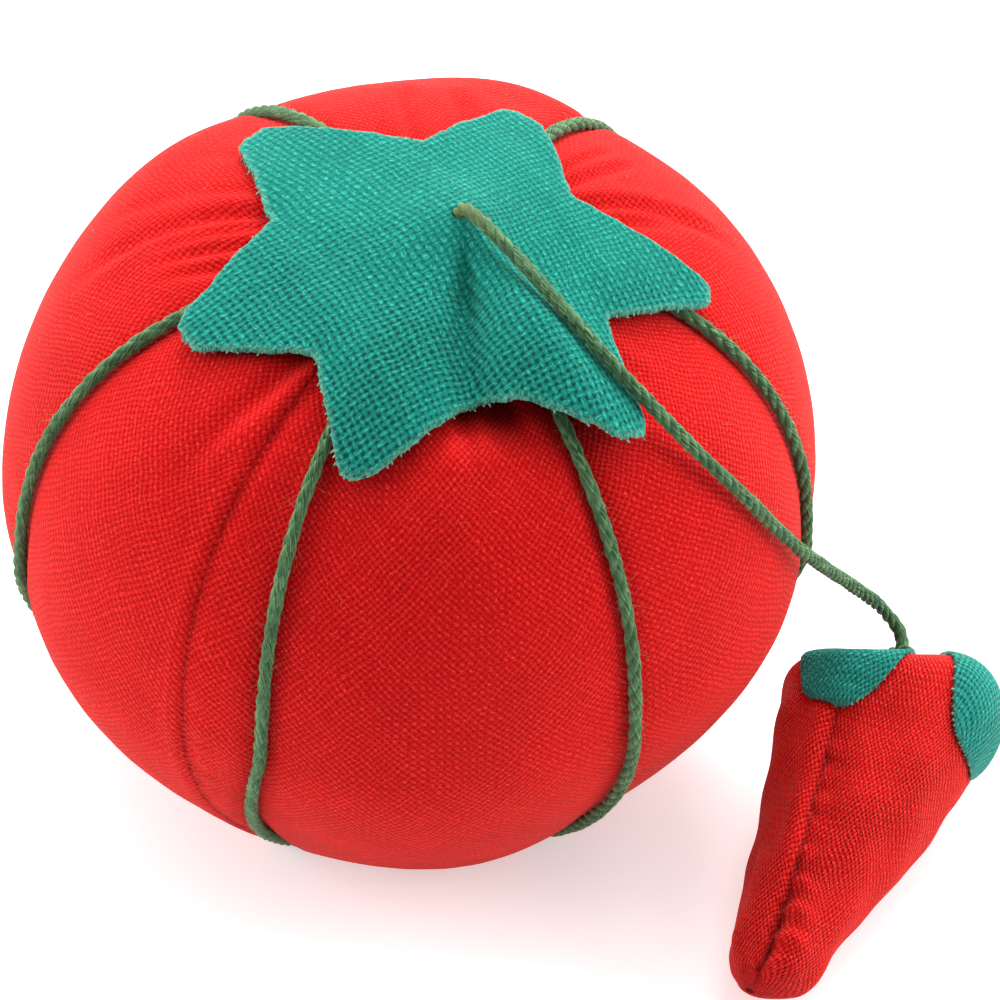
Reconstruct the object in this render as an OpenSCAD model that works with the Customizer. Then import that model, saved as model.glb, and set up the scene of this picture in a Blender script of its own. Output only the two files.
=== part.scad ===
// Tomato pin cushion: a stuffed round cover bound by six cords, a six-pointed cloth star
// on top, and a small emery berry tied to the star by a tether cord.
// Millimetres, +Z up. The origin is the middle of the base, on the surface it stands on.

/* [Cushion] */
// Diameter across the widest plane
cushion_d = 50; // [48:0.5:52]
// Height of the widest plane above the base
waist_h = 18.5; // [18:0.25:19]
// Height of the crown above the widest plane
crown_h = 22; // [21:0.25:23]
// Depth the lower curve would reach if the base were not flat
skirt_h = 26; // [25.5:0.25:26.5]
// Fullness of the crown curve, 2 is an ellipse
crown_power = 2.45; // [2.3:0.05:2.6]
// Fullness of the lower curve, 2 is an ellipse
skirt_power = 1.6; // [1.55:0.05:1.7]
// Thickness of the cover cloth
cover_t = 0.5; // [0.4:0.05:0.55]

/* [Section cords] */
// Diameter of the green cord
cord_d = 0.9; // [0.8:0.05:0.95]
// Depth of the broad valley that each cord pulls into the cover
valley_depth = 0.5; // [0.3:0.05:0.6]
// Half width of that valley
valley_w = 5; // [4:0.5:6]
// Depth of the narrow groove under the cord
groove_depth = 0.35; // [0.3:0.05:0.4]
// Half width of the narrow groove
groove_w = 0.9; // [0.8:0.1:1.2]

/* [Star] */
// Thickness of the star cloth
star_t = 0.45; // [0.35:0.05:0.5]
// Width of each blunt star tip
star_tip_w = 2.8; // [2:0.2:3.4]
// Height that the knot under the middle lifts the star
star_tent = 1.1; // [1:0.05:1.3]
// Height of the fold that runs out to the lower right tip
star_fold = 1.3; // [1:0.1:1.4]

/* [Berry] */
// Length from the head to the tip
berry_l = 25.4; // [24:0.2:26]
// Diameter at the head
berry_d = 14; // [13.6:0.1:14.2]
// Diameter just behind the tip
berry_tip_d = 4.4; // [4:0.2:5]
// Thickness of the berry cloth
berry_t = 0.45; // [0.4:0.05:0.5]
// Thickness of the leaf cap
leaf_t = 0.4; // [0.3:0.05:0.45]

/* [Hidden] */

red = [0.87, 0.11, 0.12];
teal = [0.12, 0.62, 0.51];
cord_green = [0.27, 0.47, 0.30];
cushion_r = cushion_d / 2;
cord_r = cord_d / 2;
gap = 0.05;

// Plan angle of each section cord, as tied by hand, and of the cover's side seam
cord_angles = [-162, -110, -56, -10, 56, 121];
seam_angle = -122;
// Where the cords gather, in plan, and the sizes of the gathered holes
gather = [2.7, -0.4];
hole_r = 1.7;
neck_l = 2.2;
neck_bend = 0.2;
// Dimple that the cords pull into the crown
dimple_depth = 1.2;
dimple_r = 5;
// Clearance that the base cloth leaves for a cord above the base plane
base_arch_h = 1.4;
base_arch_w = 0.8;
below_base = -0.25;

// ---- Shape of the cushion: a point is (t, a), t from 90 at the crown to -90 at the base ----

function power(t) = t >= 0 ? crown_power : skirt_power;
function half_h(t) = t >= 0 ? crown_h : skirt_h;
function ring_r(t) = cushion_r * pow(max(cos(t), 0), 2 / power(t));
function curve_z(t) = half_h(t) * pow(abs(sin(t)), 2 / power(t));
function t_at(r, side) = side * acos(pow(r / cushion_r, power(side) / 2));
function shift(t) = gather * pow(min(1, (cushion_r - ring_r(t)) / (cushion_r - hole_r)), 2);
function slope_r(t) = pow(ring_r(t) / cushion_r, power(t) - 1) / cushion_r;
function slope_z(t) = sign(t) * pow(curve_z(t) / half_h(t), power(t) - 1) / half_h(t);
function unit(v) = v / norm(v);

function from_cord(t, a) = ring_r(t) * min([
    for (c = cord_angles)
        let (d = abs((a - c + 900) % 360 - 180))
        d < 90 ? sin(d) : 1
]);
function bell(x, w) = exp(-pow(x / w, 2));
function valley(t, a) = valley_depth * bell(from_cord(t, a), valley_w);
function groove(t, a) = groove_depth * bell(from_cord(t, a), groove_w);
function dimple(t) = t > 0 ? dimple_depth * bell(ring_r(t), dimple_r) : 0;

// A point at a given depth below the full outline, no lower than floor_z
function at(t, a, depth, floor_z = -100) =
    let (n = unit([slope_r(t), slope_z(t)]),
         r = ring_r(t) - n[0] * depth,
         z = waist_h + sign(t) * curve_z(t) - n[1] * depth - dimple(t),
         c = shift(t))
    [c[0] + r * cos(a), c[1] + r * sin(a), max(z, floor_z)];
function base_floor(t, a) = below_base + base_arch_h * bell(from_cord(t, a), base_arch_w);
function cloth(t, a, inset) =
    at(t, a, valley(t, a) + groove(t, a) + inset, base_floor(t, a) + inset);

// ---- Meshes ----

// A closed tube of rings, each with the same number of points, joined end to end
function torus_faces(rows, cols) = [
    for (i = [0:rows - 1], j = [0:cols - 1])
        let (a = i * cols + j, b = i * cols + (j + 1) % cols, k = (i + 1) % rows,
             c = k * cols + (j + 1) % cols, d = k * cols + j)
        each [[a, b, c], [a, c, d]]
];
// A stack of rings with flat ends
function stack_faces(rows, cols) = concat(
    [[for (j = [0:cols - 1]) j]],
    [for (i = [0:rows - 2], j = [0:cols - 1])
        let (a = i * cols + j, b = i * cols + (j + 1) % cols)
        each [[a, a + cols, b + cols], [a, b + cols, b]]],
    [[for (j = [cols - 1:-1:0]) (rows - 1) * cols + j]]
);

// Side vectors carried along a route with no twist
function carried(tangents, side, i = 0) =
    i == len(tangents) ? [] :
    let (s = unit(side - (side * tangents[i]) * tangents[i]))
    concat([s], carried(tangents, s, i + 1));
function tangents(route) = let (last = len(route) - 1) [
    for (i = [0:last]) unit(route[min(i + 1, last)] - route[max(i - 1, 0)])
];
module tube(route, r, sides) {
    ways = tangents(route);
    across = carried(ways, cross(ways[0], [0.3, 0.5, 0.81]));
    points = [
        for (i = [0:len(route) - 1], k = [0:sides - 1])
            let (u = across[i], v = cross(ways[i], u), a = 360 * k / sides)
            route[i] + r * (cos(a) * u + sin(a) * v)
    ];
    polyhedron(points, stack_faces(len(route), sides));
}

// ---- Cushion ----

// Columns crowd towards each cord, so that its groove keeps its shape
column_steps = [0, 0.025, 0.06, 0.13, 0.3, 0.5, 0.7, 0.87, 0.94, 0.975];
coarse_steps = [0, 0.15, 0.38, 0.62, 0.85];
function columns(steps) = [
    for (i = [0:5], s = steps)
        let (a = cord_angles[i], b = i < 5 ? cord_angles[i + 1] : cord_angles[0] + 360)
        a + (b - a) * s
];
function rows(r0, crown_rows, skirt_rows) = concat(
    [for (k = [0:crown_rows - 1]) t_at(r0 + (cushion_r - r0) * sin(90 * k / crown_rows), 1)],
    [for (k = [0:skirt_rows]) t_at(r0 + (cushion_r - r0) * cos(90 * k / skirt_rows), -1)]
);
function circle_at(z, r, angles) = [for (a = angles) [gather[0] + r * cos(a), gather[1] + r * sin(a), z]];

top_z = waist_h + crown_h - dimple_depth - valley_depth - groove_depth;
base_z = base_arch_h + below_base;
table = 200;

module tomato_cover() {
    angles = columns(column_steps);
    ts = rows(hole_r, 14, 15);
    last = len(ts) - 1;
    outer = [for (t = ts) [for (a = angles) cloth(t, a, 0)]];
    inner = [for (i = [last - 1:-1:1]) [for (a = angles) cloth(ts[i], a, cover_t)]];
    neck_out = hole_r + cover_t;
    base_neck = [
        circle_at(base_z + neck_l, hole_r, angles),
        circle_at(base_z + neck_l, neck_out, angles),
        circle_at(base_z + cover_t + neck_bend, neck_out, angles)
    ];
    top_neck = [
        circle_at(top_z - cover_t - neck_bend, neck_out, angles),
        circle_at(top_z - neck_l, neck_out, angles),
        circle_at(top_z - neck_l, hole_r, angles)
    ];
    rings = concat(outer, base_neck, inner, top_neck);
    points = [for (ring = rings) each ring];
    color(red) difference() {
        polyhedron(points, torus_faces(len(rings), len(angles)));
        translate([-table / 2, -table / 2, -table]) cube(table);
    }
}

module tomato_stuffing() {
    angles = columns(coarse_steps);
    slack = 0.3;
    inset = cover_t + groove_depth + slack;
    ts = rows(hole_r + 3, 8, 9);
    rings = [for (t = ts) [for (a = angles)
        at(t, a, valley(t, a) + inset, base_z + cover_t + 0.1)]];
    points = [for (ring = rings) each ring];
    core_r = 1.6;
    neck_r = 2.75;
    color("wheat") difference() {
        polyhedron(points, stack_faces(len(rings), len(angles)));
        translate([gather[0], gather[1], -1]) cylinder(h = 60, r = core_r, $fn = 48);
        translate([gather[0], gather[1], -1]) cylinder(h = 6, r = neck_r, $fn = 48);
        translate([gather[0], gather[1], top_z - neck_l - 1]) cylinder(h = 20, r = neck_r, $fn = 48);
    }
}

module cover_seam_thread() {
    thread_r = 0.1;
    depth = cover_t + thread_r + 0.12;
    route = [for (t = [62:-4:-34]) at(t, seam_angle, valley(t, seam_angle) + groove(t, seam_angle) + depth)];
    color("darkred") tube(route, thread_r, 6);
}

gather_thread_r = 0.13;
module gather_thread(z) {
    color("darkred") translate([gather[0], gather[1], z])
        rotate_extrude($fn = 48)
            translate([hole_r + cover_t + gap + gather_thread_r, 0]) circle(gather_thread_r, $fn = 16);
}
module top_gather_thread() gather_thread(top_z - neck_l + 0.4);
module bottom_gather_thread() gather_thread(base_z + neck_l - 0.4);

// ---- Section cords ----

knot_r = 1.55;
knot_h = 1;
top_knot_z = top_z - 0.2;
base_knot_z = 0.1;
cord_depth = valley_depth + groove_depth - cord_r - 0.07;
cord_floor = cord_r + 0.06;

function cord_route(a) = concat(
    [for (r = [knot_r + gap, 3, 5, 7.5, 10, 12.5, 15, 17.2, 19.2, 21, 22.5, 23.6, 24.4, 24.85])
        at(t_at(r, 1), a, cord_depth)],
    [at(0, a, cord_depth)],
    [for (r = [24.8, 24.2, 23.2, 21.9, 20.2, 18.4, 16.6, 15.2, 14, 12.6, 10.5, 8, 5.5, 3.2, knot_r + gap])
        at(t_at(r, -1), a, cord_depth, cord_floor)]
);
module section_cord(i) {
    color(cord_green) tube(cord_route(cord_angles[i - 1]), cord_r, 8);
}
module section_cord_1() section_cord(1);
module section_cord_2() section_cord(2);
module section_cord_3() section_cord(3);
module section_cord_4() section_cord(4);
module section_cord_5() section_cord(5);
module section_cord_6() section_cord(6);

module core_cord_strands() {
    strand_ring = 0.95;
    low = base_knot_z + knot_h;
    color(cord_green) for (k = [0:5])
        translate([gather[0] + strand_ring * cos(60 * k), gather[1] + strand_ring * sin(60 * k), low])
            cylinder(h = top_knot_z - low, r = cord_r, $fn = 24);
}

module cord_knot(z) {
    color(cord_green) translate([gather[0], gather[1], z]) rotate_extrude($fn = 48) {
        square([knot_r - knot_h / 2, knot_h]);
        translate([knot_r - knot_h / 2, knot_h / 2]) circle(knot_h / 2, $fn = 24);
    }
}
module top_cord_knot() cord_knot(top_knot_z);
module bottom_cord_knot() cord_knot(base_knot_z);

// ---- Star ----

// Tips and valleys as plan angle and ring radius, cut by hand and so not quite even
star_tips = [[-154, 15.9], [-103, 17.3], [-45, 18.9], [-2, 17.4], [63, 14.1], [141, 14.5]];
star_valleys = [[-124, 11.6], [-75, 13.4], [-29, 12.6], [20, 10.2], [98, 8.2], [175, 9.9]];
star_hole = 0.6;
star_clear = 0.22;
fold_angle = -52;
fold_w = 3;
fold_from = 1;
fold_to = 8;

function polar(p) = p[1] * [cos(p[0]), sin(p[0])];
function tip_corner(i, side) =
    let (p = polar(star_tips[i]), u = unit(p))
    p + side * star_tip_w / 2 * [-u[1], u[0]];
function smooth(x) = let (s = min(max(x, 0), 1)) s * s * (3 - 2 * s);
star_outline = [
    for (i = [0:5])
        each [tip_corner(i, -1), polar(star_tips[i]) * 1.02, tip_corner(i, 1), polar(star_valleys[i])]
];
// Height of the star over the cover at plan place p, with its tent and its fold
function star_lift(p) =
    let (rho = norm(p),
         along = p * [cos(fold_angle), sin(fold_angle)],
         off = p * [-sin(fold_angle), cos(fold_angle)])
    star_clear + star_tent * bell(rho, 3.4)
    + dimple_depth * bell(rho, dimple_r)
    + star_fold * smooth((along - fold_from) / (fold_to - fold_from)) * bell(off, fold_w);
function star_point(p, up) =
    let (t = t_at(min(norm(p), cushion_r - 0.1), 1))
    at(t, atan2(p[1], p[0]), -star_lift(p) - up);

module star_calyx() {
    outline = [
        for (i = [0:len(star_outline) - 1], s = [0, 0.5])
            let (a = star_outline[i], b = star_outline[(i + 1) % len(star_outline)])
            a + (b - a) * s
    ];
    fractions = [0, 0.1, 0.22, 0.36, 0.52, 0.68, 0.84, 1];
    function ring(f, up) = [for (p = outline) star_point(unit(p) * (star_hole + (norm(p) - star_hole) * f), up)];
    rings = concat(
        [for (f = fractions) ring(f, star_t)],
        [for (i = [len(fractions) - 1:-1:0]) ring(fractions[i], 0)]
    );
    points = [for (r = rings) each r];
    color(teal) polyhedron(points, torus_faces(len(rings), len(outline)));
}

// ---- Tether ----

// The loose cord's route, from the knot under the star to the knot in the berry's head
tether_route = [
    [2.7, -0.4, 40.9], [2.7, -0.4, 42.2], [3.0, -0.8, 42.9], [3.8, -1.8, 43.1], [5.0, -3.1, 42.8],
    [6.4, -4.8, 42.5], [8.1, -6.9, 42.0], [9.9, -8.8, 41.1], [11.8, -10.5, 39.9], [13.6, -11.6, 38.4],
    [15.4, -12.2, 36.5], [17.2, -12.5, 34.4], [18.9, -12.4, 32.2], [20.5, -12.0, 29.8], [22.1, -11.2, 26.9],
    [23.7, -9.8, 23.7], [24.7, -8.2, 21.2], [25.8, -6.4, 18.4], [26.7, -4.9, 16.2], [27.6, -3.5, 14.0],
    [28.5, -2.4, 12.1], [29.2, -1.7, 10.7], [29.9, -1.4, 9.4], [30.5, -1.6, 8.6], [30.8, -2.2, 8.1],
    [30.8, -2.7, 7.9]
];
root_knot_r = 0.8;

module tether_root_knot() {
    color(cord_green) translate([gather[0], gather[1], top_knot_z + knot_h + root_knot_r + 0.02])
        sphere(r = root_knot_r, $fn = 32);
}
module tether_cord() color(cord_green) tube(tether_route, cord_r, 8);

// A ring of glue that holds the star to the cover round the knot
module star_glue() {
    outside = 2.6;
    over_cords = at(t_at(outside, 1), 0, cord_depth - cord_r)[2] + gap;
    color("ivory") translate([gather[0], gather[1], over_cords]) difference() {
        cylinder(h = 1, r = outside, $fn = 48);
        translate([0, 0, -1]) cylinder(h = 3, r = 1.1, $fn = 48);
    }
}

// ---- Berry ----

berry_head = [31.8, -4.2, 7.7];
berry_lean = 79;
berry_heading = 65;
// Where the berry's cloth gathers round the tether, off its middle, and the knot there
berry_gather = [0, 1.3];
end_knot_r = 0.75;
end_knot_z = 0.2;
berry_hole_r = 1.2;
leaf_hole_r = 1.8;
berry_seam_angle = 160;
head_round = 5;
tip_round = 2.7;

module on_berry() translate(berry_head) rotate([0, berry_lean, berry_heading]) children();

// Radius at distance s below the head, for a berry drawn in by inset
function berry_r(s, inset) =
    let (l = berry_l - 2 * inset,
         head = berry_d / 2 - inset, tip = berry_tip_d / 2 - inset,
         r = head + (tip - head) * pow(s / l, 1.45),
         h = max(1 - s / head_round, 0), e = max(1 - (l - s) / tip_round, 0))
    r * pow(1 - h * h, 1 / 2.6) * sqrt(max(1 - e * e, 0));
module berry_profile(inset) {
    l = berry_l - 2 * inset;
    steps = [0.01, 0.03, 0.08, 0.16, 0.3, 0.5, 0.8, 1.2, 1.7, 2.4, 3.2, 4.2, 5.5, 8, 11, 14, 17, 20];
    ends = [1.8, 1.1, 0.6, 0.3, 0.1, 0.02];
    polygon(concat(
        [[0, -inset]],
        [for (s = steps) [berry_r(s, inset), -inset - s]],
        [for (e = ends) [berry_r(l - e, inset), -inset - l + e]],
        [[0, -inset - l]]
    ));
}
module berry_solid(inset) rotate_extrude($fn = 64) berry_profile(inset);
module berry_bore(r) translate([berry_gather[0], berry_gather[1], -3]) cylinder(h = 8, r = r, $fn = 48);

module berry_cover() {
    color(red) on_berry() difference() {
        berry_solid(0);
        berry_solid(berry_t);
        berry_bore(berry_hole_r);
    }
}
module berry_filling() {
    color("dimgray") on_berry() difference() {
        berry_solid(berry_t + gap);
        berry_bore(berry_hole_r + 0.5);
    }
}
module berry_seam_thread() {
    thread_r = 0.1;
    depth = berry_t / 2;
    color("darkred") on_berry() for (s = [6:1.2:22]) {
        r = berry_r(s, 0) - depth;
        rotate([0, 0, berry_seam_angle]) translate([r, 0, -s]) cylinder(h = 0.8, r = thread_r, $fn = 16);
    }
}
module berry_gather_thread() {
    color("darkred") on_berry() translate([berry_gather[0], berry_gather[1], -1.4])
        rotate_extrude($fn = 48) translate([berry_hole_r + 0.2, 0]) circle(gather_thread_r, $fn = 16);
}
module berry_leaf_cap() {
    lobes = 5;
    color(teal) on_berry() difference() {
        intersection() {
            translate([0, 0, leaf_t + gap]) rotate_extrude($fn = 64) berry_profile(-leaf_t - gap);
            translate([0, 0, -5.6]) cylinder(h = 8, r = 12, $fn = 48);
        }
        berry_solid(-gap);
        berry_bore(leaf_hole_r);
        for (k = [0:lobes - 1]) rotate([0, 0, 360 * k / lobes + 20])
            translate([0, 0, -6.6]) rotate([0, 90, 0]) cylinder(h = 12, r = 3.4, $fn = 48);
    }
}
module tether_end_knot() {
    color(cord_green) on_berry() translate([berry_gather[0], berry_gather[1], end_knot_z])
        sphere(r = end_knot_r, $fn = 32);
}

tomato_cover();
tomato_stuffing();
cover_seam_thread();
top_gather_thread();
bottom_gather_thread();
section_cord_1();
section_cord_2();
section_cord_3();
section_cord_4();
section_cord_5();
section_cord_6();
core_cord_strands();
top_cord_knot();
bottom_cord_knot();
star_calyx();
star_glue();
tether_root_knot();
tether_cord();
tether_end_knot();
berry_cover();
berry_filling();
berry_seam_thread();
berry_gather_thread();
berry_leaf_cap();
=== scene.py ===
"""The looks of the tomato pin cushion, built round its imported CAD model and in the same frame.

Shapes are worked out in millimetres, and new_mesh() turns them into metres.
"""

import math

import bpy
import numpy as np
from mathutils import Matrix, Vector


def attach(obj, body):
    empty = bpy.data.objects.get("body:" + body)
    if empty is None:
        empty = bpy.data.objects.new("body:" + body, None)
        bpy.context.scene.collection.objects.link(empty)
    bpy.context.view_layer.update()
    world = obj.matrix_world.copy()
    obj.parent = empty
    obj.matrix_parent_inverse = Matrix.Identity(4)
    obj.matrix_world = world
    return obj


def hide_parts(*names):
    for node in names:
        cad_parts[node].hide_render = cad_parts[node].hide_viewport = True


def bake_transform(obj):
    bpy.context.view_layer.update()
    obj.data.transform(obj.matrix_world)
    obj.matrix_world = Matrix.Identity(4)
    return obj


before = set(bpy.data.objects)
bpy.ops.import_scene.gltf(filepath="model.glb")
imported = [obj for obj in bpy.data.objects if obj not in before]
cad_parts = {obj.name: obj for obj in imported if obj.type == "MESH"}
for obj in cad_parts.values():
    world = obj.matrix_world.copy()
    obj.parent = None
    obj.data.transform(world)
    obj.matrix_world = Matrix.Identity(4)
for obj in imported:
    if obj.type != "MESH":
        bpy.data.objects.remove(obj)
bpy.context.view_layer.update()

MM = 0.001
FULL_TURN = 2 * math.pi
scene = bpy.context.scene
rng = np.random.default_rng(11)


# ---- the cushion's sizes

CUSHION_R = 25.0
WAIST_H = 18.5
CROWN_H = 22.0
SKIRT_H = 26.0
CROWN_POWER = 2.45
SKIRT_POWER = 1.6
COVER_T = 0.5
CORD_R = 0.45
VALLEY_DEPTH = 0.5
VALLEY_W = 5.0
GROOVE_DEPTH = 0.35
GROOVE_W = 0.9
CORD_ANGLES = np.radians([-162, -110, -56, -10, 56, 121])
# How far each cord has slid round by the time it is under the cushion
CORD_DRIFT = np.radians([-8, -7, 2, 9, 0, 0])
SEAM_ANGLE = math.radians(-122)
GATHER = np.array([2.7, -0.4])
HOLE_R = 1.7
NECK_L = 2.2
DIMPLE_DEPTH = 1.2
DIMPLE_R = 5.0
BASE_ARCH_H = 1.4
BASE_ARCH_W = 0.8
BELOW_BASE = -0.25
KNOT_R = 1.55
TOP_Z = WAIST_H + CROWN_H - DIMPLE_DEPTH - VALLEY_DEPTH - GROOVE_DEPTH
BASE_Z = BASE_ARCH_H + BELOW_BASE
CORD_DEPTH = VALLEY_DEPTH + GROOVE_DEPTH - CORD_R - 0.07
CORD_FLOOR = CORD_R + 0.06


def bell(x, w):
    """A bump of height 1 and half width w."""
    return np.exp(-((x / w) ** 2))


def smooth(x):
    """A soft step from 0 to 1."""
    x = np.clip(x, 0, 1)
    return x * x * (3 - 2 * x)


def around(count):
    return np.linspace(0, FULL_TURN, count, endpoint=False)


def degrees_from(angle, middle):
    """The turn from middle to angle, both in radians, as degrees from -180 to 180."""
    return np.degrees(np.arctan2(np.sin(angle - middle), np.cos(angle - middle)))


def run_length(points):
    """Distance along a run of points, from the first one to each."""
    return np.concatenate([[0], np.cumsum(np.linalg.norm(np.diff(points, axis=0), axis=1))])


def power(t):
    return np.where(t >= 0, CROWN_POWER, SKIRT_POWER)


def half_h(t):
    return np.where(t >= 0, CROWN_H, SKIRT_H)


def ring_r(t):
    return CUSHION_R * np.maximum(np.cos(t), 0) ** (2 / power(t))


def curve_z(t):
    return half_h(t) * np.abs(np.sin(t)) ** (2 / power(t))


def t_at(r, side):
    """Where the outline has ring radius r, on the crown (side 1) or on the skirt (side -1)."""
    p = CROWN_POWER if side > 0 else SKIRT_POWER
    return side * np.arccos(np.clip(r / CUSHION_R, 0, 1) ** (p / 2))


def cord_angle(t, number):
    return CORD_ANGLES[number] + CORD_DRIFT[number] * smooth((0.1 - t) / 0.9)


def from_cord(t, a):
    """Distance from the nearest section cord, in millimetres."""
    cords = np.stack([cord_angle(t, number) for number in range(len(CORD_ANGLES))], -1)
    away = np.abs((a[..., None] - cords + 5 * math.pi) % FULL_TURN - math.pi)
    return ring_r(t) * np.where(away < math.pi / 2, np.sin(away), 1.0).min(-1)


def valley(t, a):
    return VALLEY_DEPTH * bell(from_cord(t, a), VALLEY_W)


def groove(t, a):
    return GROOVE_DEPTH * bell(from_cord(t, a), GROOVE_W)


def at(t, a, depth, floor_z=-100.0):
    """The point at a depth below the cushion's full outline, no lower than floor_z."""
    t, a, depth = np.broadcast_arrays(*(np.asarray(given, float) for given in (t, a, depth)))
    radius = ring_r(t)
    slope_r = (radius / CUSHION_R) ** (power(t) - 1) / CUSHION_R
    slope_z = np.sign(t) * (curve_z(t) / half_h(t)) ** (power(t) - 1) / half_h(t)
    size = np.hypot(slope_r, slope_z)
    dimple = np.where(t > 0, DIMPLE_DEPTH * bell(radius, DIMPLE_R), 0)
    r = radius - slope_r / size * depth
    z = WAIST_H + np.sign(t) * curve_z(t) - slope_z / size * depth - dimple
    toward = np.minimum(1, (CUSHION_R - radius) / (CUSHION_R - HOLE_R)) ** 2
    x = GATHER[0] * toward + r * np.cos(a)
    y = GATHER[1] * toward + r * np.sin(a)
    return np.stack([x, y, np.maximum(z, floor_z)], -1)


def base_floor(t, a):
    return BELOW_BASE + BASE_ARCH_H * bell(from_cord(t, a), BASE_ARCH_W)


# ---- meshes


def new_object(name, data):
    made = bpy.data.objects.new(name, data)
    scene.collection.objects.link(made)
    return made


def new_mesh(name, points, faces, material, uv=None, marks=None):
    """A smooth mesh from millimetre points. uv is two numbers for each face corner, in millimetres,
    and marks is {attribute name: one number for each point}."""
    mesh = bpy.data.meshes.new(name)
    points = np.asarray(points, float).reshape(-1, 3) * MM
    mesh.from_pydata(points.tolist(), [], [list(map(int, f)) for f in faces])
    mesh.polygons.foreach_set("use_smooth", np.ones(len(mesh.polygons), bool))
    if uv is not None:
        mesh.uv_layers.new(name="cloth").data.foreach_set("uv", np.asarray(uv, np.float32).ravel())
    for key, values in (marks or {}).items():
        values = np.asarray(values, np.float32).ravel()
        mesh.attributes.new(key, "FLOAT", "POINT").data.foreach_set("value", values)
    mesh.materials.append(material)
    mesh.update()
    return new_object(name, mesh)


def place_piece(piece, body, node=None):
    """Puts a piece on its body, and in place of its CAD node if it has one."""
    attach(piece, body)
    if node:
        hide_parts(node)


def grid_faces(rows, cols, closed=False):
    """Four-cornered faces of rings of points, where a closed grid also joins its last ring to its
    first."""
    i = np.arange(rows if closed else rows - 1)
    i, j = np.meshgrid(i, np.arange(cols), indexing="ij")
    k, m = (i + 1) % rows, (j + 1) % cols
    return np.stack([i * cols + j, i * cols + m, k * cols + m, k * cols + j], -1).reshape(-1, 4)


def turned(faces):
    return faces[:, ::-1]


def corner_places(faces, angles):
    """For the corners of the faces of rings: the row, the turn, which carries on past the join, and
    the face's own column."""
    cols = len(angles)
    row, col = faces // cols, faces % cols
    face_col = np.tile(np.arange(cols), len(faces) // cols)[:, None]
    return row, angles[col] + np.where((col == 0) & (face_col == cols - 1), FULL_TURN, 0), face_col


def smooth_path(points, step):
    """A Catmull-Rom curve through the points, sampled evenly about every step millimetres."""
    p = np.asarray(points, float)
    p = np.vstack([2 * p[0] - p[1], p, 2 * p[-1] - p[-2]])
    u = np.linspace(0, 1, 24, endpoint=False)[:, None]
    runs = []
    for a, b, c, d in zip(p[:-3], p[1:-2], p[2:-1], p[3:]):
        square, cube = 2 * a - 5 * b + 4 * c - d, 3 * b - a - 3 * c + d
        runs.append(0.5 * (2 * b + (c - a) * u + square * u**2 + cube * u**3))
    return even_path(np.vstack(runs + [p[-2:-1]]), step)


def even_path(points, step):
    gone = run_length(points)
    stops = np.linspace(0, gone[-1], max(4, int(round(gone[-1] / step)) + 1))
    return np.stack([np.interp(stops, gone, points[:, k]) for k in range(3)], 1)


def eased(points, passes):
    """The path with its corners taken off and its ends kept."""
    p = points.copy()
    for _ in range(passes):
        p[1:-1] = 0.25 * p[:-2] + 0.5 * p[1:-1] + 0.25 * p[2:]
    return p


def frames_along(path):
    """Unit tangents, and two side vectors that are carried along the path with no twist."""
    ways = np.gradient(path, axis=0)
    ways /= np.linalg.norm(ways, axis=1)[:, None]
    side = np.cross(ways[0], [0.3, 0.5, 0.81])
    across = []
    for way in ways:
        side = side - (side @ way) * way
        side = side / np.linalg.norm(side)
        across.append(side)
    across = np.array(across)
    return ways, across, np.cross(ways, across)


def tube(path, radii, sides):
    """Points and faces of a closed round tube, with a rounded cap at both ends."""
    ways, u, v = frames_along(path)
    radii = np.broadcast_to(radii, len(path)).astype(float)
    turn = around(sides)[None, :, None]
    ring = np.cos(turn) * u[:, None] + np.sin(turn) * v[:, None]
    caps, tips = [], []
    for end, way in ((0, -ways[0]), (-1, ways[-1])):
        caps.append(path[end] + radii[end] * (0.45 * way + 0.75 * ring[end]))
        tips.append(path[end] + 0.6 * radii[end] * way)
    rings = np.concatenate([caps[:1], path[:, None] + radii[:, None, None] * ring, caps[1:]])
    rows = len(rings)
    first, last = rows * sides, rows * sides + 1
    faces = grid_faces(rows, sides).tolist()
    faces += [[(j + 1) % sides, j, first] for j in range(sides)]
    faces += [[first - sides + j, first - sides + (j + 1) % sides, last] for j in range(sides)]
    return np.vstack([rings.reshape(-1, 3), tips]), faces


def on_tube(values, sides):
    """One number for each point that tube() makes, from one for each point of its path."""
    values = np.concatenate([values[:1], values, values[-1:]])
    return np.concatenate([np.repeat(values, sides), values[[0, -1]]])


def joined(parts):
    """One list of points and one of faces from several."""
    points, faces, count = [], [], 0
    for p, f in parts:
        points.append(p)
        faces += [[i + count for i in face] for face in f]
        count += len(p)
    return np.vstack(points), faces


PLIES = 3
PLY_SIDES = 8


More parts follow.
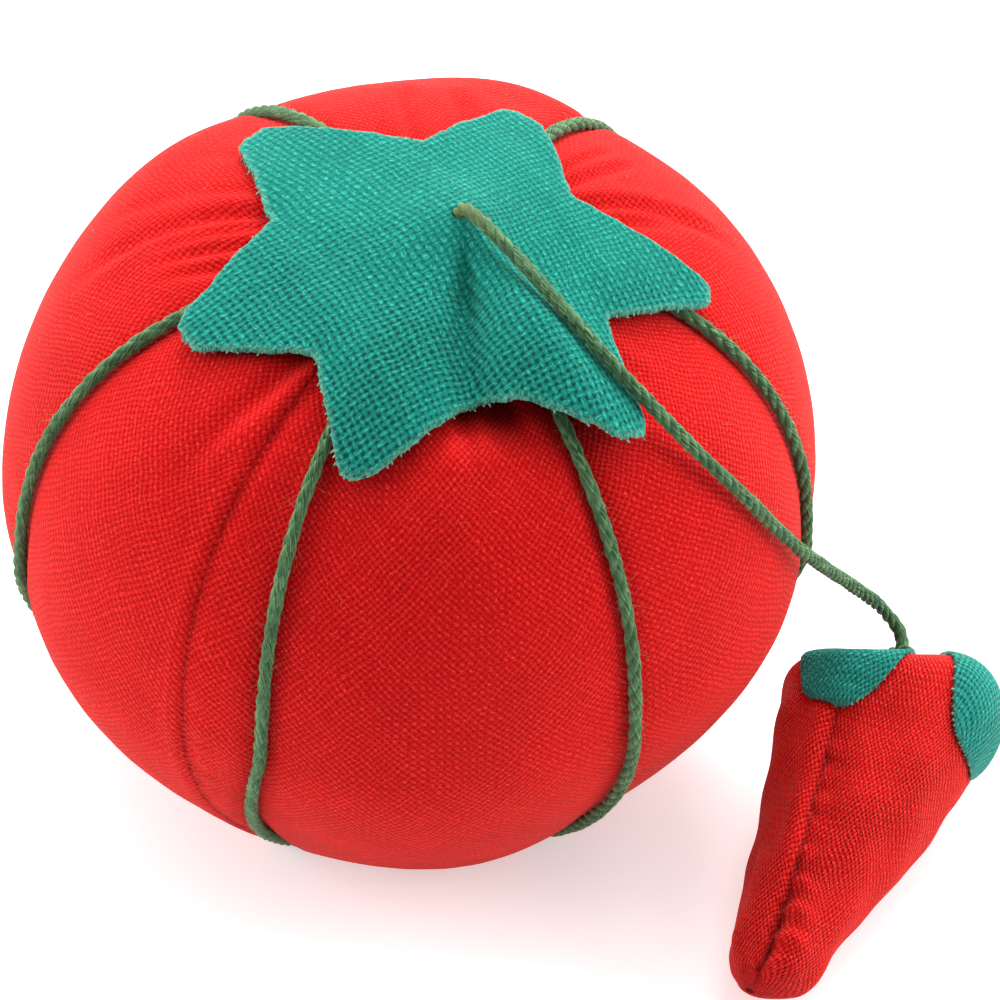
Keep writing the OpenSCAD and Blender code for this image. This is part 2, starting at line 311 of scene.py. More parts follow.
def cord_mesh(name, path, material, olive, phase=0.0, scale=1.0, ply_r=0.25, lay=2.5):
    """A cord of three plies laid round each other. olive is its share of the olive tint."""
    _, u, v = frames_along(path)
    gone = run_length(path)
    uneven = 1 + 0.05 * np.sin(gone * 1.7 + phase) + 0.04 * np.sin(gone * 0.63 + 2 * phase)
    helix_r = (CORD_R - ply_r) * scale
    parts, lengths, turns = [], [], []
    for k in range(PLIES):
        swing = FULL_TURN * (gone / lay + k / PLIES) + phase + 0.35 * np.sin(gone * 0.41 + phase)
        strand = path + helix_r * (np.cos(swing)[:, None] * u + np.sin(swing)[:, None] * v)
        parts.append(tube(strand, ply_r * scale * uneven, PLY_SIDES))
        lengths.append(on_tube(run_length(strand), PLY_SIDES))
        turn = np.tile(np.arange(PLY_SIDES) / PLY_SIDES, len(path) + 2)
        turns.append(np.append(turn, [0, 0]) + 0.37 * k)
    olive = np.tile(on_tube(np.broadcast_to(olive, len(path)), PLY_SIDES), PLIES)
    marks = {"ply_s": lengths, "ply_turn": turns, "olive": olive}
    return new_mesh(name, *joined(parts), material, marks=marks)


HAIR_R = 0.008
# Hairs on a cord start this far from its middle, and lean outwards and along it
HAIR_ROOT, HAIR_OUT, HAIR_ALONG = 0.4, 0.8, 0.7


def hair_mesh(name, roots, ways, material, length, curl):
    """Loose fibres: thin tapered three-sided hairs that leave each root and bend as they go."""
    parts = []
    for root, way in zip(roots, ways):
        size = length * (0.4 + 1.2 * rng.random())
        bend = rng.normal(size=3) * curl
        u = np.linspace(0, 1, 6)[:, None]
        path = root + size * (way * u + 0.5 * bend * u**2)
        parts.append(tube(path, HAIR_R * np.linspace(1, 0.35, 6), 3))
    return new_mesh(name, *joined(parts), material)


# ---- materials


class Graph:
    """A node tree with short ways to add nodes to it."""

    def __init__(self, tree):
        self.tree = tree

    def node(self, kind, *given, **settings):
        """A new node, with its first inputs given."""
        made = self.tree.nodes.new(kind)
        for key, value in settings.items():
            setattr(made, key, value)
        for socket, value in zip(made.inputs, given):
            self.feed(socket, value)
        return made

    def feed(self, socket, value):
        if isinstance(value, bpy.types.NodeSocket):
            self.tree.links.new(value, socket)
        else:
            socket.default_value = value

    def math(self, operation, *values):
        return self.node("ShaderNodeMath", *values, operation=operation).outputs[0]

    def add(self, a, b):
        return self.math("ADD", a, b)

    def mul(self, a, b):
        return self.math("MULTIPLY", a, b)

    def mul_add(self, a, b, c):
        return self.math("MULTIPLY_ADD", a, b, c)

    def vector(self, x, y, z=0.0):
        return self.node("ShaderNodeCombineXYZ", x, y, z).outputs[0]

    def split(self, vector):
        return self.node("ShaderNodeSeparateXYZ", vector).outputs

    def noise(self, vector, scale, detail=2.0, output="Fac"):
        made = self.node("ShaderNodeTexNoise", vector)
        made.inputs["Scale"].default_value = scale
        made.inputs["Detail"].default_value = detail
        return made.outputs[output]

    def white(self, value):
        made = self.node("ShaderNodeTexWhiteNoise", noise_dimensions="1D")
        self.feed(made.inputs["W"], value)
        return made.outputs["Value"]

    def ramp(self, value, low, high, to_low=0.0, to_high=1.0, kind="SMOOTHSTEP"):
        given = (value, low, high, to_low, to_high)
        return self.node("ShaderNodeMapRange", *given, interpolation_type=kind).outputs[0]

    def mix(self, factor, a, b, blend="MIX"):
        made = self.node("ShaderNodeMix", factor, data_type="RGBA", blend_type=blend)
        self.feed(made.inputs[6], a)
        self.feed(made.inputs[7], b)
        return made.outputs[2]

    def attribute(self, name):
        return self.node("ShaderNodeAttribute", attribute_name=name).outputs["Fac"]

    def place(self):
        return self.node("ShaderNodeTexCoord").outputs["Object"]


def linear(colour):
    """A colour given as display values from 0 to 255, as the shader's linear values."""
    shares = [c / 255 for c in colour]
    return (*(c / 12.92 if c <= 0.04045 else ((c + 0.055) / 1.055) ** 2.4 for c in shares), 1.0)


def new_material(name, roughness, sheen=0.0, sheen_tint=(1, 1, 1, 1), specular=0.3):
    material = bpy.data.materials.new(name)
    material.use_nodes = True
    shader = material.node_tree.nodes["Principled BSDF"]
    finish = {
        "Roughness": roughness, "Specular IOR Level": specular, "Sheen Weight": sheen,
        "Sheen Roughness": 0.45, "Sheen Tint": sheen_tint,
    }
    for key, value in finish.items():
        shader.inputs[key].default_value = value
    return material, Graph(material.node_tree), shader


def add_bump(graph, shader, height, distance_mm):
    bump = graph.node("ShaderNodeBump")
    bump.inputs["Strength"].default_value = 1.0
    bump.inputs["Distance"].default_value = distance_mm * MM
    graph.feed(bump.inputs["Height"], height)
    graph.feed(shader.inputs["Normal"], bump.outputs[0])


WEAVE_OUTPUTS = ("Height", "Tone", "Fibre", "Hole")


def make_weave():
    """A node group for plain weave: yarns of two directions that pass over and under each other."""
    tree = bpy.data.node_groups.new("plain_weave", "ShaderNodeTree")
    for name in ("Cloth", "Pitch", "Turn", "Close"):
        kind = "NodeSocketVector" if name == "Cloth" else "NodeSocketFloat"
        tree.interface.new_socket(name=name, in_out="INPUT", socket_type=kind)
    for name in WEAVE_OUTPUTS:
        tree.interface.new_socket(name=name, in_out="OUTPUT", socket_type="NodeSocketFloat")
    g = Graph(tree)
    given = g.node("NodeGroupInput").outputs
    result = g.node("NodeGroupOutput").inputs

    # The yarns wander a little, so that no row is ruled straight
    wander = g.noise(given["Cloth"], 0.3, 3.0, "Color")
    reach = (0.9, 0.9, 0.0)
    drift = g.node("ShaderNodeVectorMath", wander, reach, given["Cloth"], operation="MULTIPLY_ADD")
    rotate = g.node("ShaderNodeVectorRotate", drift.outputs[0], rotation_type="Z_AXIS")
    g.feed(rotate.inputs["Angle"], given["Turn"])
    a, b = (g.math("DIVIDE", place, given["Pitch"]) for place in g.split(rotate.outputs[0])[:2])
    sin_a, sin_b = (g.math("SINE", g.mul(number, math.pi)) for number in (a, b))
    both = g.mul(sin_a, sin_b)

    def yarn(across, along, own, crossing):
        """How high one direction's yarn stands, and its own tone."""
        number = g.math("FLOOR", across)
        slow = g.noise(g.vector(g.mul(number, 3.71), g.mul(along, 0.13)), 1.0, 1.0)
        tone = g.mul_add(g.white(number), 0.5, g.mul(slow, 0.5))
        height = g.mul_add(g.math("ABSOLUTE", own), 0.62, g.mul(crossing, 0.38))
        return g.mul(height, g.ramp(tone, 0.2, 0.8, 0.86, 1.1, "LINEAR")), tone

    # In places one direction's yarns stand up more than the other's
    ruling = g.ramp(g.noise(given["Cloth"], 0.11, 2.0), 0.38, 0.62, -0.16, 0.24)
    high_a, tone_a = yarn(a, b, sin_a, both)
    high_b, tone_b = yarn(b, a, sin_b, g.mul(both, -1.0))
    high_a = g.mul(high_a, g.add(1.0, ruling))
    high_b = g.mul(high_b, g.math("SUBTRACT", 1.0, ruling))
    over = g.math("GREATER_THAN", high_a, high_b)
    height = g.math("MAXIMUM", high_a, high_b)
    tone = g.add(g.mul(tone_a, over), g.mul(tone_b, g.math("SUBTRACT", 1.0, over)))
    # Fibres run along whichever yarn is on top
    along_a = g.mul_add(over, 4.2, 1.6)
    along_b = g.math("SUBTRACT", 7.4, along_a)
    fibre = g.noise(g.vector(g.mul(a, along_a), g.mul(b, along_b)), 1.0, 3.0)
    g.feed(result["Height"], g.mul_add(fibre, 0.3, g.add(height, -0.1)))
    g.feed(result["Tone"], tone)
    g.feed(result["Fibre"], fibre)
    # The gaps where four yarns meet, some open and some closed
    corner = g.mul_add(g.math("ROUND", a), 12.9, g.mul(g.math("ROUND", b), 78.3))
    worn_shut = g.ramp(g.noise(given["Cloth"], 0.14, 3.0), 0.35, 0.65, -0.2, 0.12)
    closed = g.mul_add(g.white(corner), 0.24, worn_shut)
    nearest = g.math("MAXIMUM", g.math("ABSOLUTE", sin_a), g.math("ABSOLUTE", sin_b))
    nearest = g.add(nearest, given["Close"])
    g.feed(result["Hole"], g.ramp(g.add(nearest, closed), 0.28, 0.78, 1.0, 0.0))
    return tree


weave = make_weave()


def cloth_material(
    name, colours, pitch, turn, bump_mm, sheen, sheen_tint, depth, pale=None, seam=0.0, close=None
):
    """Plain-woven cloth, uneven from yarn to yarn, with painted shade between the yarns and where
    they dip, and a painted highlight where they stand up. colours are the painted shade, the yarns'
    own colour and the painted highlight, and depth is how much of the gaps' painted shade shows.
    pale is the colour of its cut edge, seam the strength of the painted shade in its seam line, and
    close says where the weave closes up."""
    gap_shade, low, high = map(linear, colours)
    material, g, shader = new_material(name, 0.9, sheen, sheen_tint, specular=0.1)
    cloth = g.node("ShaderNodeUVMap", uv_map="cloth").outputs[0]
    group = g.node("ShaderNodeGroup", node_tree=weave)
    for key, value in (("Cloth", cloth), ("Pitch", pitch), ("Turn", turn)):
        g.feed(group.inputs[key], value)
    if close:
        g.feed(group.inputs["Close"], g.ramp(g.split(cloth)[1], *close))
    height, tone, fibre, hole = (group.outputs[key] for key in WEAVE_OUTPUTS)
    # Painted highlight: raised yarn tops are mixed towards the paler high colour
    colour = g.mix(g.mul(g.ramp(height, 0.45, 1.0), g.ramp(fibre, 0.42, 0.66)), low, high)
    # Painted shade where the yarns dip low and in the gaps between them
    colour = g.mix(g.mul(g.ramp(height, 0.62, 0.2), 0.4), colour, gap_shade)
    colour = g.mix(g.mul(hole, depth), colour, gap_shade)
    worn = g.noise(cloth, 0.16, 3.0)
    shade = g.mul_add(fibre, 0.1, g.mul_add(tone, 0.16, g.mul_add(worn, 0.3, 0.76)))
    colour = g.mix(1.0, colour, g.vector(shade, shade, shade), "MULTIPLY")
    if pale:
        edge = g.mul(g.attribute("pale"), g.ramp(fibre, 0.35, 0.62))
        colour = g.mix(edge, colour, linear(pale))
    if seam:
        # Painted shade along the seam line: a ragged dark slit, darker than the gaps, also sunk in
        # the bump
        ragged = g.mul_add(g.noise(cloth, 1.6, 3.0), 0.5, g.add(g.attribute("seam"), -0.25))
        line = g.ramp(g.math("ABSOLUTE", ragged), 0.04, 0.2, 1.0, 0.0)
        line = g.mul(line, g.ramp(g.noise(cloth, 0.9), 0.36, 0.56, 0.25, 1.0))
        seam_slit_shade = (*(0.35 * c for c in gap_shade[:3]), 1.0)
        colour = g.mix(g.mul(line, seam), colour, seam_slit_shade)
        height = g.math("SUBTRACT", height, g.mul(line, 1.5))
    g.feed(shader.inputs["Base Color"], colour)
    add_bump(g, shader, height, bump_mm)
    return material


def cord_material(name, dark, mid, light, olive):
    """Twisted yarn: fibres that run round each ply, with darker and lighter ones among them."""
    dark, mid, light, olive = map(linear, (dark, mid, light, olive))
    material, g, shader = new_material(name, 0.8, 0.25, (0.7, 0.9, 0.6, 1), 0.25)
    s, turn = g.attribute("ply_s"), g.attribute("ply_turn")
    angle = g.mul(g.mul_add(s, 0.42, turn), FULL_TURN)
    across = [g.mul(g.math(operation, angle), 1.1) for operation in ("COSINE", "SINE")]
    strands = g.noise(g.vector(*across, g.mul(s, 0.16)), 3.4, 3.0)
    specks = g.noise(g.vector(s, turn), 2.2, 3.0)
    colour = g.mix(g.ramp(strands, 0.34, 0.5), dark, mid)
    colour = g.mix(g.ramp(strands, 0.5, 0.68), colour, light)
    colour = g.mix(g.mul(g.ramp(specks, 0.55, 0.75), 0.45), colour, light)
    colour = g.mix(g.mul(g.attribute("olive"), 0.6), colour, olive)
    g.feed(shader.inputs["Base Color"], colour)
    add_bump(g, shader, strands, 0.09)
    return material


def mixed_material(name, low, high, scale, bump_mm, roughness=0.9, sheen=0.2):
    """Thread, wadding, grit or glue: two colours broken up by noise, with a matching relief."""
    material, g, shader = new_material(name, roughness, sheen)
    cloud = g.noise(g.place(), scale, 4.0)
    colour = g.mix(g.ramp(cloud, 0.35, 0.65), linear(low), linear(high))
    g.feed(shader.inputs["Base Color"], colour)
    add_bump(g, shader, cloud, bump_mm)
    return material


RED_PITCH = 0.36
STAR_PITCH = 0.42
BERRY_PITCH = 0.335
LEAF_PITCH = 0.36
BIAS = math.radians(45)
STAR_TURN = math.radians(-33)
RED_SHEEN = (1.0, 0.4, 0.32, 1)
TEAL_SHEEN = (0.5, 1.0, 0.95, 1)

# Colours: painted shade in the gaps, the yarns' own colour, and a painted highlight on raised tops
red_cotton = cloth_material(
    "red_cotton", ((138, 0, 3), (184, 3, 7), (224, 52, 44)), RED_PITCH, BIAS, 0.052,
    0.12, RED_SHEEN, 0.8, seam=0.45,
)
berry_cotton = cloth_material(
    "berry_cotton", ((104, 0, 3), (190, 5, 9), (238, 74, 62)), BERRY_PITCH, BIAS, 0.08,
    0.1, RED_SHEEN, 1.0, seam=0.45,
)
star_cotton = cloth_material(
    "star_cotton", ((2, 58, 50), (5, 106, 93), (46, 160, 145)), STAR_PITCH, STAR_TURN, 0.065,
    0.08, TEAL_SHEEN, 0.95, pale=(96, 158, 138), close=(-9, 6, -0.05, 0.32),
)
leaf_cotton = cloth_material(
    "leaf_cotton", ((4, 52, 46), (10, 110, 98), (64, 170, 154)), LEAF_PITCH, STAR_TURN, 0.07,
    0.1, TEAL_SHEEN, 1.0, pale=(84, 146, 132),
)
green_cord = cord_material(
    "green_cord", (16, 44, 26), (50, 98, 60), (112, 150, 104), (112, 130, 74)
)
cord_fuzz = mixed_material("cord_fuzz", (110, 96, 64), (150, 160, 110), 900, 0.01)
red_fuzz = mixed_material("red_fuzz", (215, 70, 60), (235, 140, 120), 900, 0.01)
teal_fray = mixed_material("teal_fray", (50, 140, 116), (132, 182, 160), 700, 0.02)
leaf_fray_fibre = mixed_material("leaf_fray_fibre", (16, 92, 78), (96, 160, 142), 1500, 0.02)
red_thread = mixed_material("red_thread", (120, 8, 12), (190, 24, 26), 2600, 0.03)
wadding = mixed_material("wadding", (214, 204, 182), (240, 234, 220), 420, 0.25)
emery = mixed_material("emery", (38, 36, 36), (96, 92, 90), 2400, 0.08, 0.7, 0.0)
glue = mixed_material("dried_glue", (222, 214, 190), (240, 236, 222), 500, 0.05, 0.35, 0.0)


# ---- camera, floor and lights


# A long lens high over the table, with a slight roll, aimed a little off the cushion
CAMERA_UP, CAMERA_ROLL = math.radians(45.5), math.radians(1.2)
CAMERA_AWAY, CAMERA_LENS, CAMERA_SENSOR = 545.0, 319.8, 36.0
AIM_RIGHT, AIM_UP = 0.01028, -0.0015


def add_camera():
    ahead = Vector((0, math.cos(CAMERA_UP), -math.sin(CAMERA_UP)))
    up = Vector((0, math.sin(CAMERA_UP), math.cos(CAMERA_UP)))
    right = Vector((1, 0, 0))
    rolled_right = math.cos(CAMERA_ROLL) * right + math.sin(CAMERA_ROLL) * up
    rolled_up = -math.sin(CAMERA_ROLL) * right + math.cos(CAMERA_ROLL) * up
    aim = (ahead + AIM_RIGHT * rolled_right + AIM_UP * rolled_up).normalized()
    side = (rolled_right - rolled_right.dot(aim) * aim).normalized()
    top = side.cross(aim)
    data = bpy.data.cameras.new("camera")
    data.sensor_width, data.lens = CAMERA_SENSOR, CAMERA_LENS
    data.clip_start, data.clip_end = 0.01, 20.0
    camera = new_object("camera", data)
    place = (Vector((0, 0, WAIST_H)) - CAMERA_AWAY * ahead) * MM
    turn = Matrix((side, top, -aim)).transposed().to_4x4()
    camera.matrix_world = Matrix.Translation(place) @ turn
    scene.camera = camera


# The lights: place and size in metres, and power in watts
LIGHTS = {
    "key": ((0.08, 0.46, 0.44), 0.3, 3.6), "right": ((0.6, 0.0, 0.22), 0.4, 2.6),
    "left": ((-0.6, 0.0, 0.22), 0.4, 2.6),
}
LIGHTS_AIM = (0, 0, 0.02)


def add_light(name, place, size, watts):
    data = bpy.data.lights.new(name, "AREA")
    data.shape = "DISK"
    data.size = size
    data.energy = watts
    light = new_object(name, data)
    light.location = place
    light.rotation_mode = "QUATERNION"
    light.rotation_quaternion = (Vector(LIGHTS_AIM) - Vector(place)).to_track_quat("-Z", "Y")


# Soft white surroundings, brightest above and behind the cushion and dim on the camera's side
BRIGHT_SIDE = (0.03, 0.85, 0.55)
DIM_SKY, BRIGHT_SKY = 0.12, 2.3
# The floor is a lit white sweep, a hair below the table's height
FLOOR_SIDE = 3000.0
FLOOR_GLOW = 0.5
FLOOR_Z = -0.00005


def add_stage():
    material, g, shader = new_material("floor", 0.9, specular=0.1)
    white = g.mix(g.noise(g.place(), 6.0), (0.76, 0.76, 0.76, 1), (0.78, 0.78, 0.78, 1))
    g.feed(shader.inputs["Base Color"], white)
    shader.inputs["Emission Color"].default_value = (1, 1, 1, 1)
    shader.inputs["Emission Strength"].default_value = FLOOR_GLOW
    corners = [(x * FLOOR_SIDE, y * FLOOR_SIDE, 0) for x, y in ((-1, -1), (1, -1), (1, 1), (-1, 1))]
    floor = new_mesh("floor", corners, [(0, 1, 2, 3)], material)
    floor.location.z = FLOOR_Z
    world = bpy.data.worlds.new("studio")
    world.use_nodes = True
    sky = Graph(world.node_tree)
    bright = sky.node("ShaderNodeVectorMath", operation="DOT_PRODUCT")
    sky.feed(bright.inputs[0], sky.node("ShaderNodeTexCoord").outputs["Generated"])
    bright.inputs[1].default_value = Vector(BRIGHT_SIDE).normalized()
    strength = sky.ramp(bright.outputs["Value"], -0.25, 0.95, DIM_SKY, BRIGHT_SKY)
    background = world.node_tree.nodes["Background"]
    background.inputs[0].default_value = (1, 1, 1, 1)
    sky.feed(background.inputs[1], strength)
    scene.world = world
    scene.view_settings.view_transform = "Standard"
    for name, setup in LIGHTS.items():
        add_light(name, *setup)


add_camera()
add_stage()


# ---- the tether, a free cord

# The route from the knot under the star to the knot in the berry's head
TETHER_ROUTE = [
    (2.7, -0.4, 40.9), (2.7, -0.4, 42.2), (3.0, -0.8, 42.9), (3.8, -1.8, 43.1),
    (5.0, -3.1, 42.8), (6.4, -4.8, 42.5), (8.1, -6.9, 42.0), (9.9, -8.8, 41.1),
    (11.8, -10.5, 39.9), (13.6, -11.6, 38.4), (15.4, -12.2, 36.5), (17.2, -12.5, 34.4),
    (18.9, -12.4, 32.2), (20.5, -12.0, 29.8), (22.1, -11.2, 26.9), (23.7, -9.8, 23.7),
    (24.7, -8.2, 21.2), (25.8, -6.4, 18.4), (26.7, -4.9, 16.2), (27.6, -3.5, 14.0),
    (28.5, -2.4, 12.1), (29.2, -1.7, 10.7), (29.9, -1.4, 9.4), (30.5, -1.6, 8.6),
    (30.8, -2.2, 8.1), (30.8, -2.7, 7.9),
]
CORD_STEP = 0.22


def knot_mesh(name, centre, size, thickness, flat, spin=0.0):
    """A pulled-tight overhand knot: a trefoil of the same twisted cord."""
    u = around(90)
    r = 1 + 0.48 * np.cos(3 * u)
    loop = np.stack([r * np.cos(2 * u), r * np.sin(2 * u), flat * 1.5 * np.sin(3 * u)], 1) * size
    c, s = math.cos(spin), math.sin(spin)
    loop[:, :2] = loop[:, :2] @ np.array([[c, s], [-s, c]])
    path = even_path(np.vstack([loop, loop[:1]]) + np.asarray(centre), CORD_STEP)
    return cord_mesh(name, path, green_cord, 0.0, scale=thickness)


# The cord leaves the star at one point of its route and is all the tether's own by another
TETHER_EXIT, TETHER_FREE = np.array(TETHER_ROUTE[1]), np.array(TETHER_ROUTE[11])
END_KNOT = (30.70477, -3.47268, 7.73816)
TETHER_HAIRS = 330


def add_tether():
    path = smooth_path(TETHER_ROUTE, CORD_STEP)
    from_exit = np.linalg.norm(path - TETHER_EXIT, axis=1)
    tether = cord_mesh("tether", path, green_cord, 1 - smooth(from_exit / 5), phase=0.8)
    ways, u, v = frames_along(path)
    pick = rng.integers(8, len(path) - 8, TETHER_HAIRS)
    turn = rng.random(TETHER_HAIRS) * FULL_TURN
    out = np.cos(turn)[:, None] * u[pick] + np.sin(turn)[:, None] * v[pick]
    roots, lean = path[pick] + HAIR_ROOT * out, HAIR_OUT * out + HAIR_ALONG * ways[pick]
    fuzz = hair_mesh("tether_fuzz", roots, lean, cord_fuzz, 0.45, 0.9)
    knot = knot_mesh("tether_end_tie", END_KNOT, 0.5, 0.62, 0.62)
    place_piece(knot, "end_knot", "tether_end_knot")
    for piece in (tether, fuzz):
        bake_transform(piece)
    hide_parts("tether_cord")


add_tether()


# ---- the six section cords

# Ring radii that each cord goes through on its way down
ROUTE_CROWN = [3, 5, 7.5, 10, 12.5, 15, 17.2, 19.2, 21, 22.5, 23.6, 24.4, 24.85]
ROUTE_SKIRT = [24.8, 24.2, 23.2, 21.9, 20.2, 18.4, 16.6, 15.2, 14, 12.6, 10.5, 8, 5.5, 3.2]
# Their scale, the radius of a ply, and the length in which a ply goes once round
SECTION_LAY = (0.95, 0.285, 3.6)
SECTION_OLIVE = 0.08
SECTION_HAIRS = 260


def section_path(number):
    """Down from the knot on the crown, over the waist and under to the knot at the base."""
    crown = [t_at(r, 1) for r in (KNOT_R + 0.05, *ROUTE_CROWN)]
    skirt = [t_at(r, -1) for r in (*ROUTE_SKIRT, KNOT_R + 0.05)]
    stops = [at(t, cord_angle(t, number), CORD_DEPTH) for t in crown + [0.0]]
    stops += [at(t, cord_angle(t, number), CORD_DEPTH, CORD_FLOOR) for t in skirt]
    return eased(smooth_path(stops, CORD_STEP), 6)


# The ties: name, CAD node, height, size, thickness, flatness and spin
TIES = [
    ("crown_tie", "top_cord_knot", TOP_Z + 0.25, 0.85, 0.72, 0.22, 0.4),
    ("base_tie", "bottom_cord_knot", 0.62, 0.85, 0.72, 0.22, 0.4),
    ("tether_root_tie", "tether_root_knot", TOP_Z + 1.5, 0.45, 0.6, 0.8, 0.0),
]


def add_section_cords():
    roots, leans = [], []
    for number in range(1, len(CORD_ANGLES) + 1):
        path = section_path(number - 1)
        name, phase = f"binding_cord_{number}", 1.3 * number
        cord = cord_mesh(name, path, green_cord, SECTION_OLIVE, phase, *SECTION_LAY)
        place_piece(cord, "cushion", f"section_cord_{number}")
        ways = frames_along(path)[0]
        pick = rng.integers(60, len(path) - 110, SECTION_HAIRS)
        outward = path[pick] - np.array([0, 0, WAIST_H])
        outward /= np.linalg.norm(outward, axis=1)[:, None]
        side = np.cross(ways[pick], outward) * rng.choice([-1, 1], (len(pick), 1))
        share = rng.random((len(pick), 1))
        out = share * outward + (1 - share) * side
        roots.append(path[pick] + HAIR_ROOT * out)
        along = ways[pick] * rng.choice([-1, 1], (len(pick), 1))
        leans.append(HAIR_OUT * out + HAIR_ALONG * along)
    roots, leans = np.vstack(roots), np.vstack(leans)
    fuzz = hair_mesh("binding_cord_fuzz", roots, leans, cord_fuzz, 0.5, 0.9)
    place_piece(fuzz, "cushion")
    for name, node, z, *shape in TIES:
        place_piece(knot_mesh(name, (*GATHER, z), *shape), "cushion", node)


add_section_cords()


# ---- the tomato's cover


def cover_angles():
    """Columns of the cover's mesh, crowded towards each cord and the side seam, and the middle of
    the panel that each column of faces belongs to."""
    breaks = sorted([*CORD_ANGLES.tolist(), SEAM_ANGLE])
    angles, middles = [], []
    for a, b in zip(breaks, breaks[1:] + [breaks[0] + FULL_TURN]):
        count = max(14, round(288 * (b - a) / FULL_TURN))
        x = np.arange(count) / count
        x = x - 0.075 * np.sin(FULL_TURN * x)
        angles.append(a + (b - a) * x)
        middles.append(np.full(count, (a + b) / 2))
    return np.concatenate(angles), np.concatenate(middles)


def cover_rows():
    """Rows from the hole in the crown to the hole in the base, about even along the outline."""
    down = np.sin(np.linspace(0, math.pi / 2, 80, endpoint=False))
    under = np.cos(np.linspace(0, math.pi / 2, 84))
    rings = [HOLE_R + (CUSHION_R - HOLE_R) * share for share in (down, under)]
    return np.concatenate([t_at(rings[0], 1), t_at(rings[1], -1)])


# Creases that the star and the gathers draw in the cover: plan angle in degrees, ring radius where
# each starts and ends, half width, depth, and how far it slants in degrees
CREASES = [
    (164, 9, 20, 0.65, 0.5, 10), (172, 9, 18, 0.5, 0.42, 4), (181, 9, 17, 0.5, 0.4, -2),
    (190, 9, 16, 0.6, 0.3, -6), (156, 11, 19, 0.6, 0.34, 6), (24, 9, 20, 0.6, 0.52, -7),
    (34, 9, 17, 0.5, 0.4, 4), (12, 9, 17, 0.5, 0.4, 5), (42, 10, 17, 0.5, 0.3, 2),
    (-80, 11, 18, 0.7, 0.35, 3), (-91, 12, 17, 0.6, 0.3, -3), (-68, 11, 16, 0.6, 0.3, 4),
    (-128, 11, 20, 0.8, 0.36, -5), (-36, 12, 17, 0.6, 0.24, 3), (78, 8, 17, 0.7, 0.42, 5),
    (98, 8, 18, 0.6, 0.4, -4), (140, 10, 17, 0.6, 0.3, 5),
]
# Slow swells of the stuffing: turns round the cushion, turns along the outline, height, phase
SWELLS = [
    (2, 1.0, 0.10, 0.4), (3, 1.7, 0.09, 2.1), (5, 2.3, 0.06, 4.0), (7, 3.1, 0.045, 1.2),
    (9, 2.2, 0.03, 5.1),
]
# Gathers of the cloth at its drawn-up ends: pleats round the hole, height, phase
GATHERS = [(17, 0.16, 0.3), (23, 0.13, 1.9), (31, 0.10, 4.4), (43, 0.07, 2.7)]
# Fuller and flatter places: plan angle and its spread in degrees, place and spread down the outline
# in radians, and height
PLACES = [
    (138, 26, 0.80, 0.22, 0.6), (66, 24, 0.80, 0.22, 0.6), (182, 34, 0.45, 0.35, -0.45),
    (182, 34, -0.45, 0.3, 0.5), (-121, 15, -0.95, 0.25, 0.85), (-92, 14, -1.0, 0.2, -0.3),
]
# The hollow beside the star's fold: its plan angle, and its depth in the star and in the cover
DIP_ANGLE = -77
STAR_DIP, COVER_DIP = 1.3, 1.5
COVER_DIP_SPREAD = 13
# The dark gap where the cover drops away from the star's front edge: depth, and the middle and
# spread of its plan angle and of its ring radius
GAP_DEPTH, GAP_ANGLE, GAP_SPREAD, GAP_R, GAP_REACH = 0.7, -68, 8, 13.5, 2.5
# The star keeps the cloth under it flat, out to about this ring radius
UNDER_STAR_R = 19


def front_dip(degrees, r, spread):
    """The hollow that runs out to the star's front valley, beside the fold."""
    run = smooth((r - 1.5) / 5) * (1 - smooth((r - 12.5) / 4))
    return bell(degrees - DIP_ANGLE, spread) * run


def cover_dip(t, a):
    dip = COVER_DIP * front_dip(degrees_from(a, 0.0), ring_r(t), COVER_DIP_SPREAD)
    return np.where(t > 0, dip, 0)


def from_seam(t, a):
    """Distance round from the side seam, and a number above 0 on the seam's side of the cushion."""
    return ring_r(t) * np.sin(a - SEAM_ANGLE), np.cos(a - SEAM_ANGLE)


